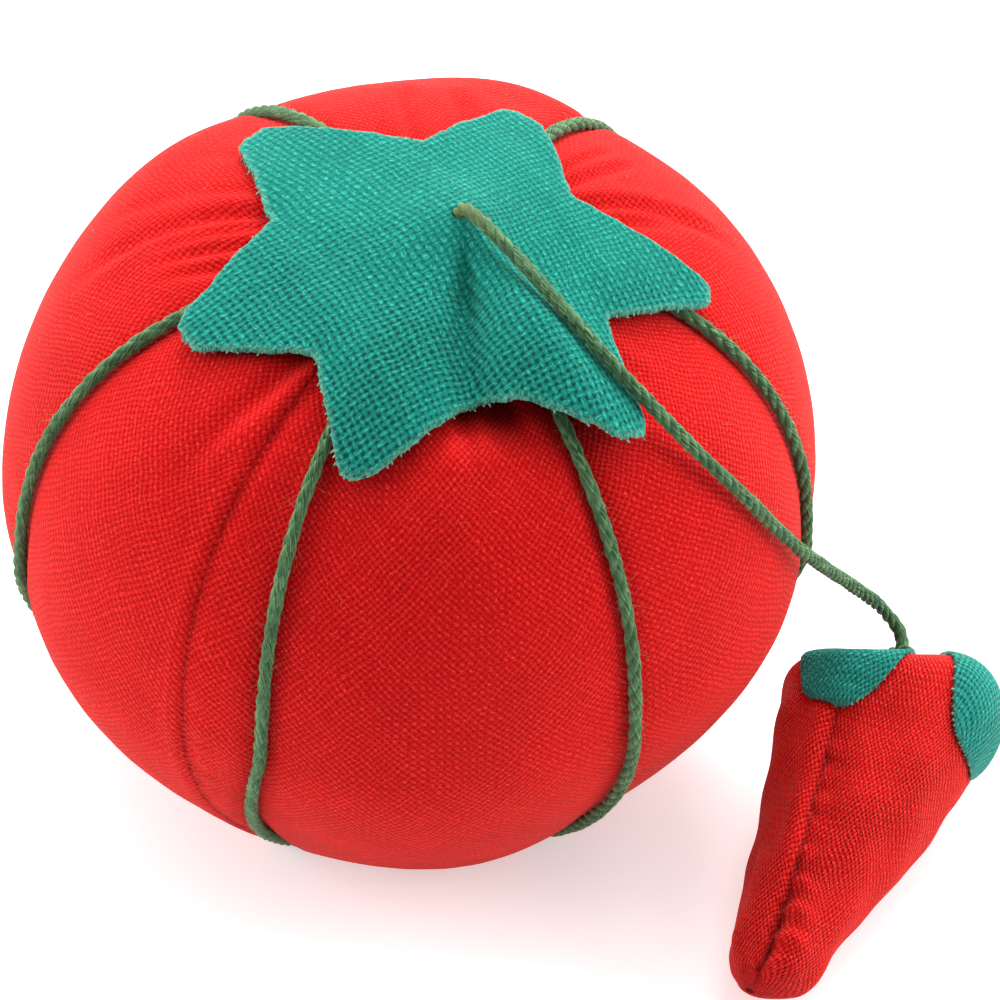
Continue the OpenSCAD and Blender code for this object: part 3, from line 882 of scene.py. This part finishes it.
def cover_relief(t, a):
    """How far the cover stands out from the plain outline: swells, gathers, creases and seam."""
    r = ring_r(t)
    turns = t / math.pi
    relief = sum(h * np.sin(n * a + p + FULL_TURN * k * turns) for n, k, h, p in SWELLS)
    for angle, spread, middle, reach, height in PLACES:
        away = degrees_from(a, math.radians(angle))
        relief = relief + height * bell(away, spread) * bell(t - middle, reach)
    pleats = sum(
        h * (np.abs(np.sin(n * a / 2 + p + 0.8 * np.sin(3 * a + p))) - 0.9) for n, h, p in GATHERS
    )
    crown_share = np.where(t > 0, 0.9 * bell(np.maximum(r - 7, 0), 5.5), 0)
    base_share = np.where(t < 0, 1.1 * bell(np.maximum(r - 6, 0), 7.0), 0)
    relief = relief + pleats * (crown_share + base_share)
    for angle, start, end, width, depth, slant in CREASES:
        run = np.clip((r - start) / (end - start), 0, 1)
        line = math.radians(angle) + math.radians(slant) * run
        away = r * np.sin(a - line)
        near = (np.cos(a - line) > 0) & (t > 0)
        share = np.where(near, smooth((r - start + 1.5) / 1.5) * (1 - smooth((r - end + 3) / 4)), 0)
        crease = bell(away, width) - 0.55 * bell(away - 1.5 * width, width)
        relief = relief - share * depth * crease
    away, ahead = from_seam(t, a)
    stitches = 0.05 * np.sin(FULL_TURN * t * 24 / 2.1) * bell(away - 0.9, 0.8)
    seam = 0.17 * bell(away + 0.7, 0.6) - 0.16 * bell(away - 0.25, 0.5) + stitches
    relief = relief + np.where(ahead > 0, smooth((r - 5) / 5), 0) * seam
    gap = bell(degrees_from(a, 0.0) - GAP_ANGLE, GAP_SPREAD) * bell(r - GAP_R, GAP_REACH)
    relief = relief - np.where(t > 0, GAP_DEPTH * gap, 0)
    under_star = smooth((UNDER_STAR_R - r) / 3) * (t > 0)
    relief = np.where(relief > 0, relief * (1 - 0.7 * under_star), relief)
    return relief * smooth(from_cord(t, a) / 1.4) - cover_dip(t, a)


# The settling of the cover as cloth, on a coarser mesh at ten times the size, where the simulation
# keeps better
SIM_SCALE = 10.0
SIM_FRAMES = 18
SIM_ROW_STEP, SIM_COL_STEP = 3, 2
CLOTH_SETTINGS = {
    "quality": 5, "mass": 0.01, "tension_stiffness": 15, "compression_stiffness": 15,
    "shear_stiffness": 8, "bending_stiffness": 0.02, "vertex_group_mass": "held",
    "vertex_group_shrink": "spare_cloth", "shrink_min": 0.0, "shrink_max": -0.15,
    "use_pressure": True, "uniform_pressure_force": 20.0,
}


def settle_cloth(t, a, base):
    """Lets the cover settle under the stuffing's pressure, held where the cords and the gathers
    hold it, and gives back how far it has moved outwards, in millimetres."""
    rows = np.arange(0, t.shape[0], SIM_ROW_STEP)
    cols = np.arange(0, t.shape[1], SIM_COL_STEP)
    coarse_t, coarse_a, start = (grid[np.ix_(rows, cols)] for grid in (t, a, base))
    mesh = bpy.data.meshes.new("settling_cloth")
    faces = turned(grid_faces(len(rows), len(cols)))
    mesh.from_pydata((start.reshape(-1, 3) * MM * SIM_SCALE).tolist(), [], faces.tolist())
    piece = new_object("settling_cloth", mesh)
    r = ring_r(coarse_t)
    held = (from_cord(coarse_t, coarse_a) < 0.9) | (r < 2.6) | (start[..., 2] < 0.2)
    pin = piece.vertex_groups.new(name="held")
    pin.add(np.flatnonzero(held.ravel()).tolist(), 1.0, "REPLACE")
    spare = piece.vertex_groups.new(name="spare_cloth")
    away, ahead = from_seam(coarse_t, coarse_a)
    near_seam = np.where(ahead > 0, bell(away, 4), 0)
    extra = np.clip(0.25 + 0.75 * smooth((20 - r) / 8) + 0.5 * near_seam, 0, 1)
    for index, share in enumerate(extra.ravel()):
        spare.add([index], float(share), "REPLACE")
    cloth = piece.modifiers.new("cloth", "CLOTH")
    for key, value in CLOTH_SETTINGS.items():
        setattr(cloth.settings, key, value)
    cloth.settings.effector_weights.gravity = 0.0
    cloth.collision_settings.use_collision = False
    cloth.point_cache.frame_start, cloth.point_cache.frame_end = 1, SIM_FRAMES
    for number in range(1, SIM_FRAMES + 1):
        scene.frame_set(number)
    settled = piece.evaluated_get(bpy.context.evaluated_depsgraph_get())
    moved = np.empty(len(mesh.vertices) * 3, np.float32)
    settled.data.vertices.foreach_get("co", moved)
    moved = moved.reshape(start.shape) / (MM * SIM_SCALE) - start
    bpy.data.objects.remove(piece)
    bpy.data.meshes.remove(mesh)
    scene.frame_set(1)
    outward = at(coarse_t, coarse_a, -0.5) - at(coarse_t, coarse_a, 0.5)
    rise = (moved * outward).sum(-1)
    # Back on to the full grid
    row_at = np.arange(t.shape[0]) / SIM_ROW_STEP
    col_at = np.arange(t.shape[1]) / SIM_COL_STEP
    wrapped = np.hstack([rise, rise[:, :1]])
    wide = np.stack([np.interp(col_at, np.arange(len(cols) + 1), row) for row in wrapped])
    return np.stack([np.interp(row_at, np.arange(len(rows)), col) for col in wide.T], 1)


def cover_depth(t, a):
    return valley(t, a) + groove(t, a) - cover_relief(t, a)


def gather_rings(angles, r, heights):
    """Rings of points round the middle of the gathers, one at each height."""
    ring = np.stack([GATHER[0] + r * np.cos(angles), GATHER[1] + r * np.sin(angles)], 1)
    return np.array([np.column_stack([ring, np.full(len(ring), z)]) for z in heights])


# How far the settling may move the cover, and how much less of that it may rise under the star
RISE_MAX, RISE_LESS = 0.3, 0.24
# Rows of the cover's neck, which hangs into the hole at either end
NECK_DROPS = np.array([0.7, 1.4, NECK_L])
# Puts each panel on a part of the weave of its own
PANEL_SHIFT = 9.7
# The seam mark of cloth that is nowhere near a seam
NO_SEAM = 9.0


def add_cover():
    angles, middles = cover_angles()
    ts = cover_rows()
    t, a = np.meshgrid(ts, angles, indexing="ij")
    depth = cover_depth(t, a)
    rise = settle_cloth(t, a, at(t, a, depth, 0.0))
    less = RISE_LESS * smooth((UNDER_STAR_R - ring_r(t)) / 3) * (t > 0)
    rise = np.clip(rise, -RISE_MAX, RISE_MAX - less)
    skin = at(t, a, depth - rise * smooth(from_cord(t, a) / 1.2))
    floor_z = np.where(t < 0, base_floor(t, a), 0.0)
    skin[..., 2] = np.maximum(skin[..., 2], np.maximum(floor_z, 0.0))
    top = gather_rings(angles, HOLE_R, TOP_Z - NECK_DROPS[::-1])
    base = gather_rings(angles, HOLE_R, BASE_Z + NECK_DROPS)
    points = np.concatenate([top, skin, base])
    faces = turned(grid_faces(len(points), len(angles)))

    length = run_length(np.stack([ring_r(ts), np.sign(ts) * curve_z(ts)], 1))
    v = np.concatenate([length[0] - NECK_DROPS[::-1], length, length[-1] + NECK_DROPS])
    neck = len(NECK_DROPS)
    widths = np.pad(np.sqrt(CUSHION_R * np.maximum(ring_r(ts), HOLE_R)), neck, "edge")
    row, turn, face_col = corner_places(faces, angles)
    u = widths[row] * (turn - middles[face_col]) + PANEL_SHIFT * middles[face_col]
    uv = np.stack([u, v[row]], -1)
    away, ahead = from_seam(t, a)
    seam = np.full(points.shape[:2], NO_SEAM)
    seam[neck:-neck] = np.where(ahead > 0.5, away, NO_SEAM)
    cover = new_mesh("tomato_cloth", points, faces, red_cotton, uv, {"seam": seam})
    thick = cover.modifiers.new("cloth_thickness", "SOLIDIFY")
    thick.thickness, thick.offset = COVER_T * MM, -1.0
    place_piece(cover, "cushion", "tomato_cover")


add_cover()

LINT_COUNT = 420


def add_cover_lint():
    """A few pale loose fibres on the red cloth."""
    t = rng.uniform(-0.55, 1.15, LINT_COUNT)
    a = rng.uniform(-math.pi, math.pi, LINT_COUNT)
    roots = at(t, a, cover_depth(t, a) - 0.01)
    out = at(t, a, -1.0) - at(t, a, 0.0)
    side = rng.normal(size=(LINT_COUNT, 3))
    side -= (side * out).sum(1)[:, None] * out
    side /= np.linalg.norm(side, axis=1)[:, None]
    roots[:, 2] = np.maximum(roots[:, 2], 1.0)
    lint = hair_mesh("cover_lint", roots, 0.35 * out + 0.9 * side, red_fuzz, 0.5, 0.8)
    place_piece(lint, "cushion")


add_cover_lint()


STUFFING_CLEAR = 0.75
PASSAGE_R = 1.9


def add_stuffing():
    """The wadding inside the cover, lumpy, with a passage for the cords up the middle."""
    angles = around(96) - math.pi
    ts = cover_rows()[::3]
    t, a = np.meshgrid(ts[ring_r(ts) > 4.6], angles, indexing="ij")
    lumps = 0.12 * np.sin(9 * a + 8 * t) + 0.1 * np.sin(14 * a - 11 * t + 1)
    lumps += 0.08 * np.sin(23 * a + 17 * t)
    depth = valley(t, a) + COVER_T + GROOVE_DEPTH + STUFFING_CLEAR + lumps + cover_dip(t, a)
    skin = at(t, a, depth, BASE_Z + COVER_T + 0.3)
    heights = np.linspace(BASE_Z + 6.5, TOP_Z - 4.5, 20)
    points = np.concatenate([skin, gather_rings(angles, PASSAGE_R, heights)])
    faces = turned(grid_faces(len(points), len(angles), closed=True))
    piece = new_mesh("wadding", points, faces, wadding)
    place_piece(piece, "cushion", "tomato_stuffing")


add_stuffing()


# ---- the star

# Tips: plan angle, ring radius, and half widths of the blunt end on either side
STAR_TIPS = [
    (-154, 15.1, 1.0, 1.7), (-102, 17.1, 0.8, 1.2), (-46, 17.7, 1.3, 1.0), (-3.5, 16.9, 1.6, 0.5),
    (64, 12.3, 1.4, 1.2), (139, 14.1, 1.4, 0.7),
]
STAR_VALLEYS = [(-124, 11.6), (-75, 12.7), (-30, 12.0), (21, 8.6), (98, 7.6), (175, 9.6)]
# How many times the cut edge's corners are eased
OUTLINE_PASSES = 4
STAR_T = 0.45
STAR_HOLE = 0.47
STAR_CLEAR = 0.22
STAR_TENT = 1.1
# The fold under the tether: its height, which way its crest runs, where it is full height, and how
# many degrees it spreads behind the crest and, as a straighter flank, in front of it
STAR_FOLD = 1.9
FOLD_ANGLE = -53.0
FOLD_FULL = 12.0
FOLD_BEHIND, FOLD_FLANK = 11, 23


def polar(degrees, r):
    return r * np.array([math.cos(math.radians(degrees)), math.sin(math.radians(degrees))])


def star_lift(p):
    """Height of the star over the cover: its tent over the knot, its fold, and slight ripples."""
    rho = np.linalg.norm(p, axis=-1)
    away = np.degrees(np.arctan2(p[..., 1], p[..., 0])) - FOLD_ANGLE
    flank = 1 - np.minimum(np.abs(away) / FOLD_FLANK, 1) ** 1.25
    share = np.where(away > 0, bell(away, FOLD_BEHIND), flank) * (np.abs(away) < 60)
    fold = STAR_FOLD * smooth(rho / FOLD_FULL) * share
    fold = fold - STAR_DIP * front_dip(away + FOLD_ANGLE, rho, 8)
    ripple = 0.05 * np.sin(p[..., 0] * 0.9 + 1.1) * np.sin(p[..., 1] * 0.8 + 0.4)
    ripple = ripple + 0.03 * np.sin(p @ np.array([1.7, 1.1]))
    tent = STAR_TENT * bell(rho, 3.4) + DIMPLE_DEPTH * bell(rho, DIMPLE_R)
    return STAR_CLEAR + tent + fold + ripple * smooth(rho / 4)


def star_point(p, up):
    t = t_at(np.minimum(np.linalg.norm(p, axis=-1), CUSHION_R - 0.1), 1)
    return at(t, np.arctan2(p[..., 1], p[..., 0]), -star_lift(p) - up)


def star_outline(step):
    """The star's cut edge in plan, as hand-cut lines between blunt tips and valleys."""
    corners = []
    for (angle, r, before, after), dip in zip(STAR_TIPS, STAR_VALLEYS):
        tip = polar(angle, r)
        side = np.array([-tip[1], tip[0]]) / r
        corners += [tip - side * before, tip * 1.02, tip + side * after, polar(*dip)]
    corners = np.array(corners)
    runs = []
    for a, b in zip(corners, np.roll(corners, -1, 0)):
        count = max(2, int(np.linalg.norm(b - a) / step))
        runs.append(a + (b - a) * (np.arange(count) / count)[:, None])
    line = np.vstack(runs)
    for _ in range(OUTLINE_PASSES):
        line = 0.25 * np.roll(line, 1, 0) + 0.5 * line + 0.25 * np.roll(line, -1, 0)
    gone = np.arange(len(line)) * step
    wave = 0.07 * np.sin(gone * 1.3) + 0.05 * np.sin(gone * 3.1 + 1)
    wave = wave + 0.04 * rng.normal(size=len(line))
    return line * (1 + wave / np.linalg.norm(line, axis=1))[:, None]


def cut_sheet(name, top, rim, under, flat, edge, material, flip=False):
    """A sheet of cloth round a hole, from rings of its top, its rim and its underside. flat is
    where each point lies when the sheet is flat, and edge how pale it is near the cut edge."""
    faces = grid_faces(2 * len(top) + 1, top.shape[1], closed=True)
    if flip:
        faces = turned(faces)
    flat = np.concatenate([flat, flat[-1:], flat[::-1]]).reshape(-1, 2)
    pale = np.concatenate([edge, np.ones_like(edge[:1]), edge[::-1]])
    points = np.concatenate([top, rim[None], under[::-1]])
    return new_mesh(name, points, faces, material, flat[faces], {"pale": pale})


PALE_EDGE = 0.35
STAR_FRAY = 0.13
FRAY_TAPER = np.array([1, 1, 0.95, 0.8, 0.5])


def add_star():
    outline = star_outline(0.3)
    sizes = np.linalg.norm(outline, axis=1)
    share = np.linspace(0, 1, 52)[:, None] ** 0.9
    reach = STAR_HOLE + (sizes - STAR_HOLE) * share
    plan = outline / sizes[:, None] * reach[..., None]
    edge = np.maximum(0, 1 - (sizes - reach) / PALE_EDGE)
    top = star_point(plan, STAR_T)
    rim = star_point(outline * (1 + 0.09 / sizes)[:, None], STAR_T / 2)
    star = cut_sheet("star", top, rim, star_point(plan, 0.0), plan, edge, star_cotton)
    place_piece(star, "cushion", "star_calyx")
    return star, outline


def add_star_fray(outline):
    """Cut yarn ends that stick out of the star's edge, along the two ways that its yarns run."""
    ahead = np.roll(outline, -1, 0) - np.roll(outline, 1, 0)
    out = np.stack([ahead[:, 1], -ahead[:, 0]], 1)
    out /= np.linalg.norm(out, axis=1)[:, None]
    yarns = [polar(turn - math.degrees(STAR_TURN), 1) for turn in (0, 90, 180, 270)]
    gone = run_length(outline)
    parts = []
    for stop in np.arange(0, gone[-1], STAR_PITCH):
        i = int(np.searchsorted(gone, stop)) % len(outline)
        way = max(yarns, key=lambda y: y @ out[i])
        size = STAR_FRAY * (0.35 + 1.1 * rng.random() ** 1.6)
        lean = way + 0.35 * out[i] + 0.16 * rng.normal(size=2)
        u = np.linspace(-0.5, 1, 5)[:, None]
        p = outline[i] + u * size * lean
        root_up = (0.25 + 0.25 * rng.random()) * STAR_T
        heights = root_up + 0.12 * rng.normal() * np.clip(u[:, 0], 0, 1)
        parts.append(tube(star_point(p, heights), 0.075 * FRAY_TAPER, 5))
    piece = new_mesh("star_fray", *joined(parts), teal_fray)
    place_piece(piece, "cushion")
    return piece


star, star_edge = add_star()
add_star_fray(star_edge)


# ---- the berry

BERRY_L = 25.4
BERRY_D = 14.0
BERRY_TIP_D = 4.4
HEAD_FLAT = 0.55
HEAD_ROUND = 4.2
TIP_ROUND = 2.7
BERRY_HEAD = np.array([31.8, -4.2, 7.7])
BERRY_LEAN = math.radians(79)
BERRY_HEADING = math.radians(65)
BERRY_TURN = np.array(
    Matrix.Rotation(BERRY_HEADING, 3, "Z") @ Matrix.Rotation(BERRY_LEAN, 3, "Y")
)


def berry_r(s):
    """The plain cone's radius at distance s below the head, rounded at the head and the tip."""
    s = np.clip(s, 0, BERRY_L)
    r = (BERRY_D + (BERRY_TIP_D - BERRY_D) * (s / BERRY_L) ** 1.45) / 2
    h = np.clip(1 - (s - HEAD_FLAT) / HEAD_ROUND, 0, 1)
    e = np.maximum(1 - (BERRY_L - s) / TIP_ROUND, 0)
    head_share = np.where(s < HEAD_FLAT, 0.05 * s, (1 - h**2.6) ** (1 / 2.6))
    return r * head_share * np.sqrt(np.maximum(1 - e * e, 0))


def berry_place(r, angle, s):
    """The point at radius r, turn angle and distance s below the head, on the berry as it lies."""
    local = np.stack(np.broadcast_arrays(r * np.cos(angle), r * np.sin(angle), -s), -1)
    return local @ BERRY_TURN.T + BERRY_HEAD


def seam_turn(s):
    """Where the berry's seam runs: it slants round a little towards the tip."""
    return np.radians(159 + 42 * (s / BERRY_L) ** 2)


def head_drop(angle):
    """How much further down the head's flat end lies where it slumps to one side."""
    return 1.9 * bell(degrees_from(angle, 2.5), 50)


def head_tilt(r, angle, s):
    """How far the head's end leans: its right side stands up and its left side hangs down."""
    lean = 1.25 * (r / 7) * np.cos(angle - 5.06) + 0.8 * bell(degrees_from(angle, 4.1), 42)
    return lean * smooth((r - 1.2) / 2.8) * (1 - smooth((s - HEAD_FLAT) / 6))


# Fuller and flatter places of the berry: turn and its spread in degrees, distance below the head
# and its spread, and height
BERRY_PLACES = [
    (120, 35, 7.0, 4.5, 0.8), (115, 35, 17.0, 5.0, -0.3), (275, 45, 24.0, 3.2, 0.75),
    (270, 30, 4.5, 4.0, -0.35), (352, 45, 4.0, 5.0, -0.25),
]
# The length of the puckers that the stitches draw in the seam
PUCKER = 1.7


def berry_skin_r(s, angle):
    """The cloth's radius: the plain shape with a flat panel left of the seam, the sunk and puckered
    seam itself, and the fold across the tip."""
    near_head = 1 - smooth((s - HEAD_FLAT - 1.5) / 5)
    r = berry_r(s - head_drop(angle) * near_head * smooth((s - HEAD_FLAT) / 0.8))
    from_middle = angle - seam_turn(s)
    away = r * np.sin(from_middle)
    puckers = np.sin(s * FULL_TURN / PUCKER)
    wavy = away + 0.1 * puckers + 0.06 * np.sin(s * FULL_TURN / 0.9 + 1)
    low = smooth((s - 17) / 5)
    seam = -(0.22 + 0.6 * low) * bell(wavy, 0.28 + 0.1 * low) + 0.3 * low * bell(away - 0.95, 0.75)
    seam = seam + (1 - low) * (0.34 * bell(away + 0.95, 0.75) - 0.22 * bell(away - 0.7, 0.9))
    seam = seam * smooth((s - 7.4) / 1.6) + (0.05 + 0.12 * low) * puckers * bell(away - 0.6, 0.9)
    panel = -0.55 * bell(degrees_from(angle, 1.85), 30) * smooth((s - 2) / 6)
    panel = panel + 0.1 * np.cos(3 * angle + 0.5)
    for turn, spread, place, reach, height in BERRY_PLACES:
        off = degrees_from(angle, math.radians(turn))
        panel = panel + height * bell(off, spread) * bell(s - place, reach)
    lumps = 0.07 * np.sin(angle * 4 + s * 0.5) + 0.05 * np.sin(angle * 7 - s * 0.9 + 1)
    lumps = lumps + 0.04 * np.sin(s * 1.7 + angle * 3)
    relief = np.where(np.cos(from_middle) > 0, seam, 0) + panel + lumps
    relief = relief * smooth((s - HEAD_FLAT) / 3) * smooth((BERRY_L - s) / 1.6)
    tuck = bell(s - 24.55 - 0.35 * np.sin(angle), 0.24) * bell(np.sin((angle - 2.6) / 2), 0.55)
    return np.maximum(r + relief - 0.5 * tuck * smooth((BERRY_L - s) / 0.5), 0.02)


def berry_grid(s, angles, radius):
    s2, a2 = np.meshgrid(s, angles, indexing="ij")
    r = radius(s2, a2)
    return berry_place(r, a2, s2 - head_tilt(r, a2, s2)), s2, a2


# The cloth is a flat sector rolled into a cone, so its yarns turn with the angle: how far its point
# lies past the tip, and how much of a turn round the berry is a turn of the sector
FAN_PAST, FAN_SHARE = 16, 0.36


def add_berry_cover():
    k = np.arange(150) / 149
    # Rows crowded a little towards both ends
    crowded = 0.5 - 0.5 * np.cos(math.pi * (0.03 + 0.94 * k))
    s = HEAD_FLAT + (BERRY_L - HEAD_FLAT) * (0.55 * crowded + 0.45 * k)
    s[0], s[-1] = HEAD_FLAT + 0.003, BERRY_L - 0.02
    angles = around(180)
    points, s2, a2 = berry_grid(s, angles, berry_skin_r)
    rows, cols = points.shape[:2]
    faces = turned(grid_faces(rows, cols))
    row, turn, _ = corner_places(faces, angles)
    fan = (turn - math.pi) * FAN_SHARE
    far = BERRY_L + FAN_PAST - run_length(np.stack([s, berry_r(s)], 1))[row]
    uv = np.stack([far * np.sin(fan), -far * np.cos(fan)], -1).reshape(-1, 2)
    # A fan of faces closes each end on a point of its own
    ends = berry_place(0.0, 0.0, np.array([HEAD_FLAT + 0.3, BERRY_L - 0.3]))
    faces, last = faces.tolist(), (rows - 1) * cols
    for j in range(cols):
        m = (j + 1) % cols
        faces += [[j, m, rows * cols], [last + m, last + j, rows * cols + 1]]
    uv = np.vstack([uv, np.zeros((6 * cols, 2))])
    from_middle = a2 - seam_turn(s2)
    seam = np.where(np.cos(from_middle) > 0.3, berry_r(s2) * np.sin(from_middle), NO_SEAM)
    marks = {"seam": np.append(seam, [NO_SEAM, NO_SEAM])}
    points = np.vstack([points.reshape(-1, 3), ends])
    cover = new_mesh("berry_cloth", points, faces, berry_cotton, uv, marks)
    place_piece(cover, "berry", "berry_cover")


add_berry_cover()


def add_berry_stitches():
    """Small stitches that close the berry's side seam."""
    parts = []
    for start in np.arange(8.6, 22, 1.2):
        s = np.linspace(start, start + 0.8, 6)
        r = berry_skin_r(s, seam_turn(s)) - 0.02 - 0.22 * np.linspace(-1, 1, 6) ** 2
        parts.append(tube(berry_place(r, seam_turn(s), s), 0.07, 8))
    piece = new_mesh("berry_stitches", *joined(parts), red_thread)
    place_piece(piece, "berry", "berry_seam_thread")


add_berry_stitches()


# The leaf cap's lobes: turn of the middle and half width in degrees, and how far down each reaches
LEAF_LOBES = [(157.5, 31, 7.9), (253.5, 44, 6.2), (345, 38, 6.6), (50, 36, 6.8)]
LEAF_VALLEY = 0.62
LEAF_T = 0.26
LEAF_CLEAR = 0.06


def leaf_reach(angle):
    """How far below the head the cap's edge lies at each turn round the berry."""
    reach = np.full_like(angle, LEAF_VALLEY)
    for middle, half, low in LEAF_LOBES:
        away = degrees_from(angle, math.radians(middle))
        share = np.clip(1 - np.abs(away / half) ** 3.4, 0, 1) ** 0.7
        reach = np.maximum(reach, LEAF_VALLEY + (low - LEAF_VALLEY) * share)
    return reach


def leaf_skin(s, a, up):
    """The berry's skin at s below the head, lifted along its own normal."""
    step = 0.01
    r0, r1 = berry_skin_r(s, a), berry_skin_r(s + step, a)
    size = np.hypot(step, r1 - r0)
    return berry_place(r0 + up * step / size, a, s - up * (r1 - r0) / size - head_tilt(r0, a, s))


def add_leaf_cap():
    angles = around(260)
    reach = leaf_reach(angles)
    top = HEAD_FLAT + 0.003
    s = top + (reach - top) * np.linspace(0, 1, 34)[:, None] ** 1.6
    a = np.broadcast_to(angles, s.shape)
    outer, inner = leaf_skin(s, a, LEAF_CLEAR + LEAF_T), leaf_skin(s, a, LEAF_CLEAR)
    rim = leaf_skin(s[-1] + 0.08, a[-1], LEAF_CLEAR + LEAF_T / 2)
    flat_r = berry_r(s) + np.maximum(s - 2, 0)
    flat = np.stack([flat_r * np.cos(a), flat_r * np.sin(a)], -1)
    edge = 0.6 * np.clip(1 - (reach - s) / 0.3, 0, 1)
    cap = cut_sheet("berry_leaves", outer, rim, inner, flat, edge, leaf_cotton, flip=True)
    place_piece(cap, "berry", "berry_leaf_cap")
    return cap


def add_leaf_fray():
    """Cut yarn ends along the lobes' edges."""
    pitch, radius = 0.24, 6.5
    turns = np.arange(0, FULL_TURN, pitch / radius)
    lows, step = leaf_reach(turns), 0.01
    slopes = (leaf_reach(turns + step) - leaf_reach(turns - step)) / (2 * step * radius)
    parts = []
    for turn, low, slope in zip(turns, lows, slopes):
        if low > 1.2:
            out = np.linspace(-0.5, 1, 4) * (0.06 + 0.1 * rng.random()) / math.hypot(slope, 1)
            path = leaf_skin(low + out, turn - slope * out / radius, LEAF_CLEAR + LEAF_T / 2)
            parts.append(tube(path, 0.1 * FRAY_TAPER[:4], 5))
    piece = new_mesh("leaf_fray", *joined(parts), leaf_fray_fibre)
    place_piece(piece, "berry")
    return piece


add_leaf_cap()
add_leaf_fray()


def add_berry_filling():
    """The emery grit, clear of the cloth and drawn in where the cloth is."""
    s = 1.4 + (BERRY_L - 2.6) * (0.5 - 0.5 * np.cos(np.linspace(0.02, math.pi - 0.02, 40)))

    def radius(s, a):
        grain = 0.05 * np.sin(31 * a + 9 * s) * np.sin(12 * s)
        inside = np.minimum(berry_skin_r(s - 0.8, a), berry_skin_r(s + 0.8, a)) - 0.85
        return np.maximum(inside + grain, 0.02)

    points = berry_grid(s, around(60), radius)[0]
    rows, cols = points.shape[:2]
    faces = turned(grid_faces(rows, cols)).tolist()
    faces += [range(cols), range(rows * cols - 1, (rows - 1) * cols - 1, -1)]
    piece = new_mesh("emery_grit", points, faces, emery)
    place_piece(piece, "berry", "berry_filling")


add_berry_filling()


# ---- the CAD pieces that stay

KEPT_FINISHES = {
    "cover_seam_thread": red_thread,
    "top_gather_thread": red_thread,
    "bottom_gather_thread": red_thread,
    "berry_gather_thread": red_thread,
    "core_cord_strands": green_cord,
    "star_glue": glue,
}
for node, material in KEPT_FINISHES.items():
    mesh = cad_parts[node].data
    mesh.materials.clear()
    mesh.materials.append(material)
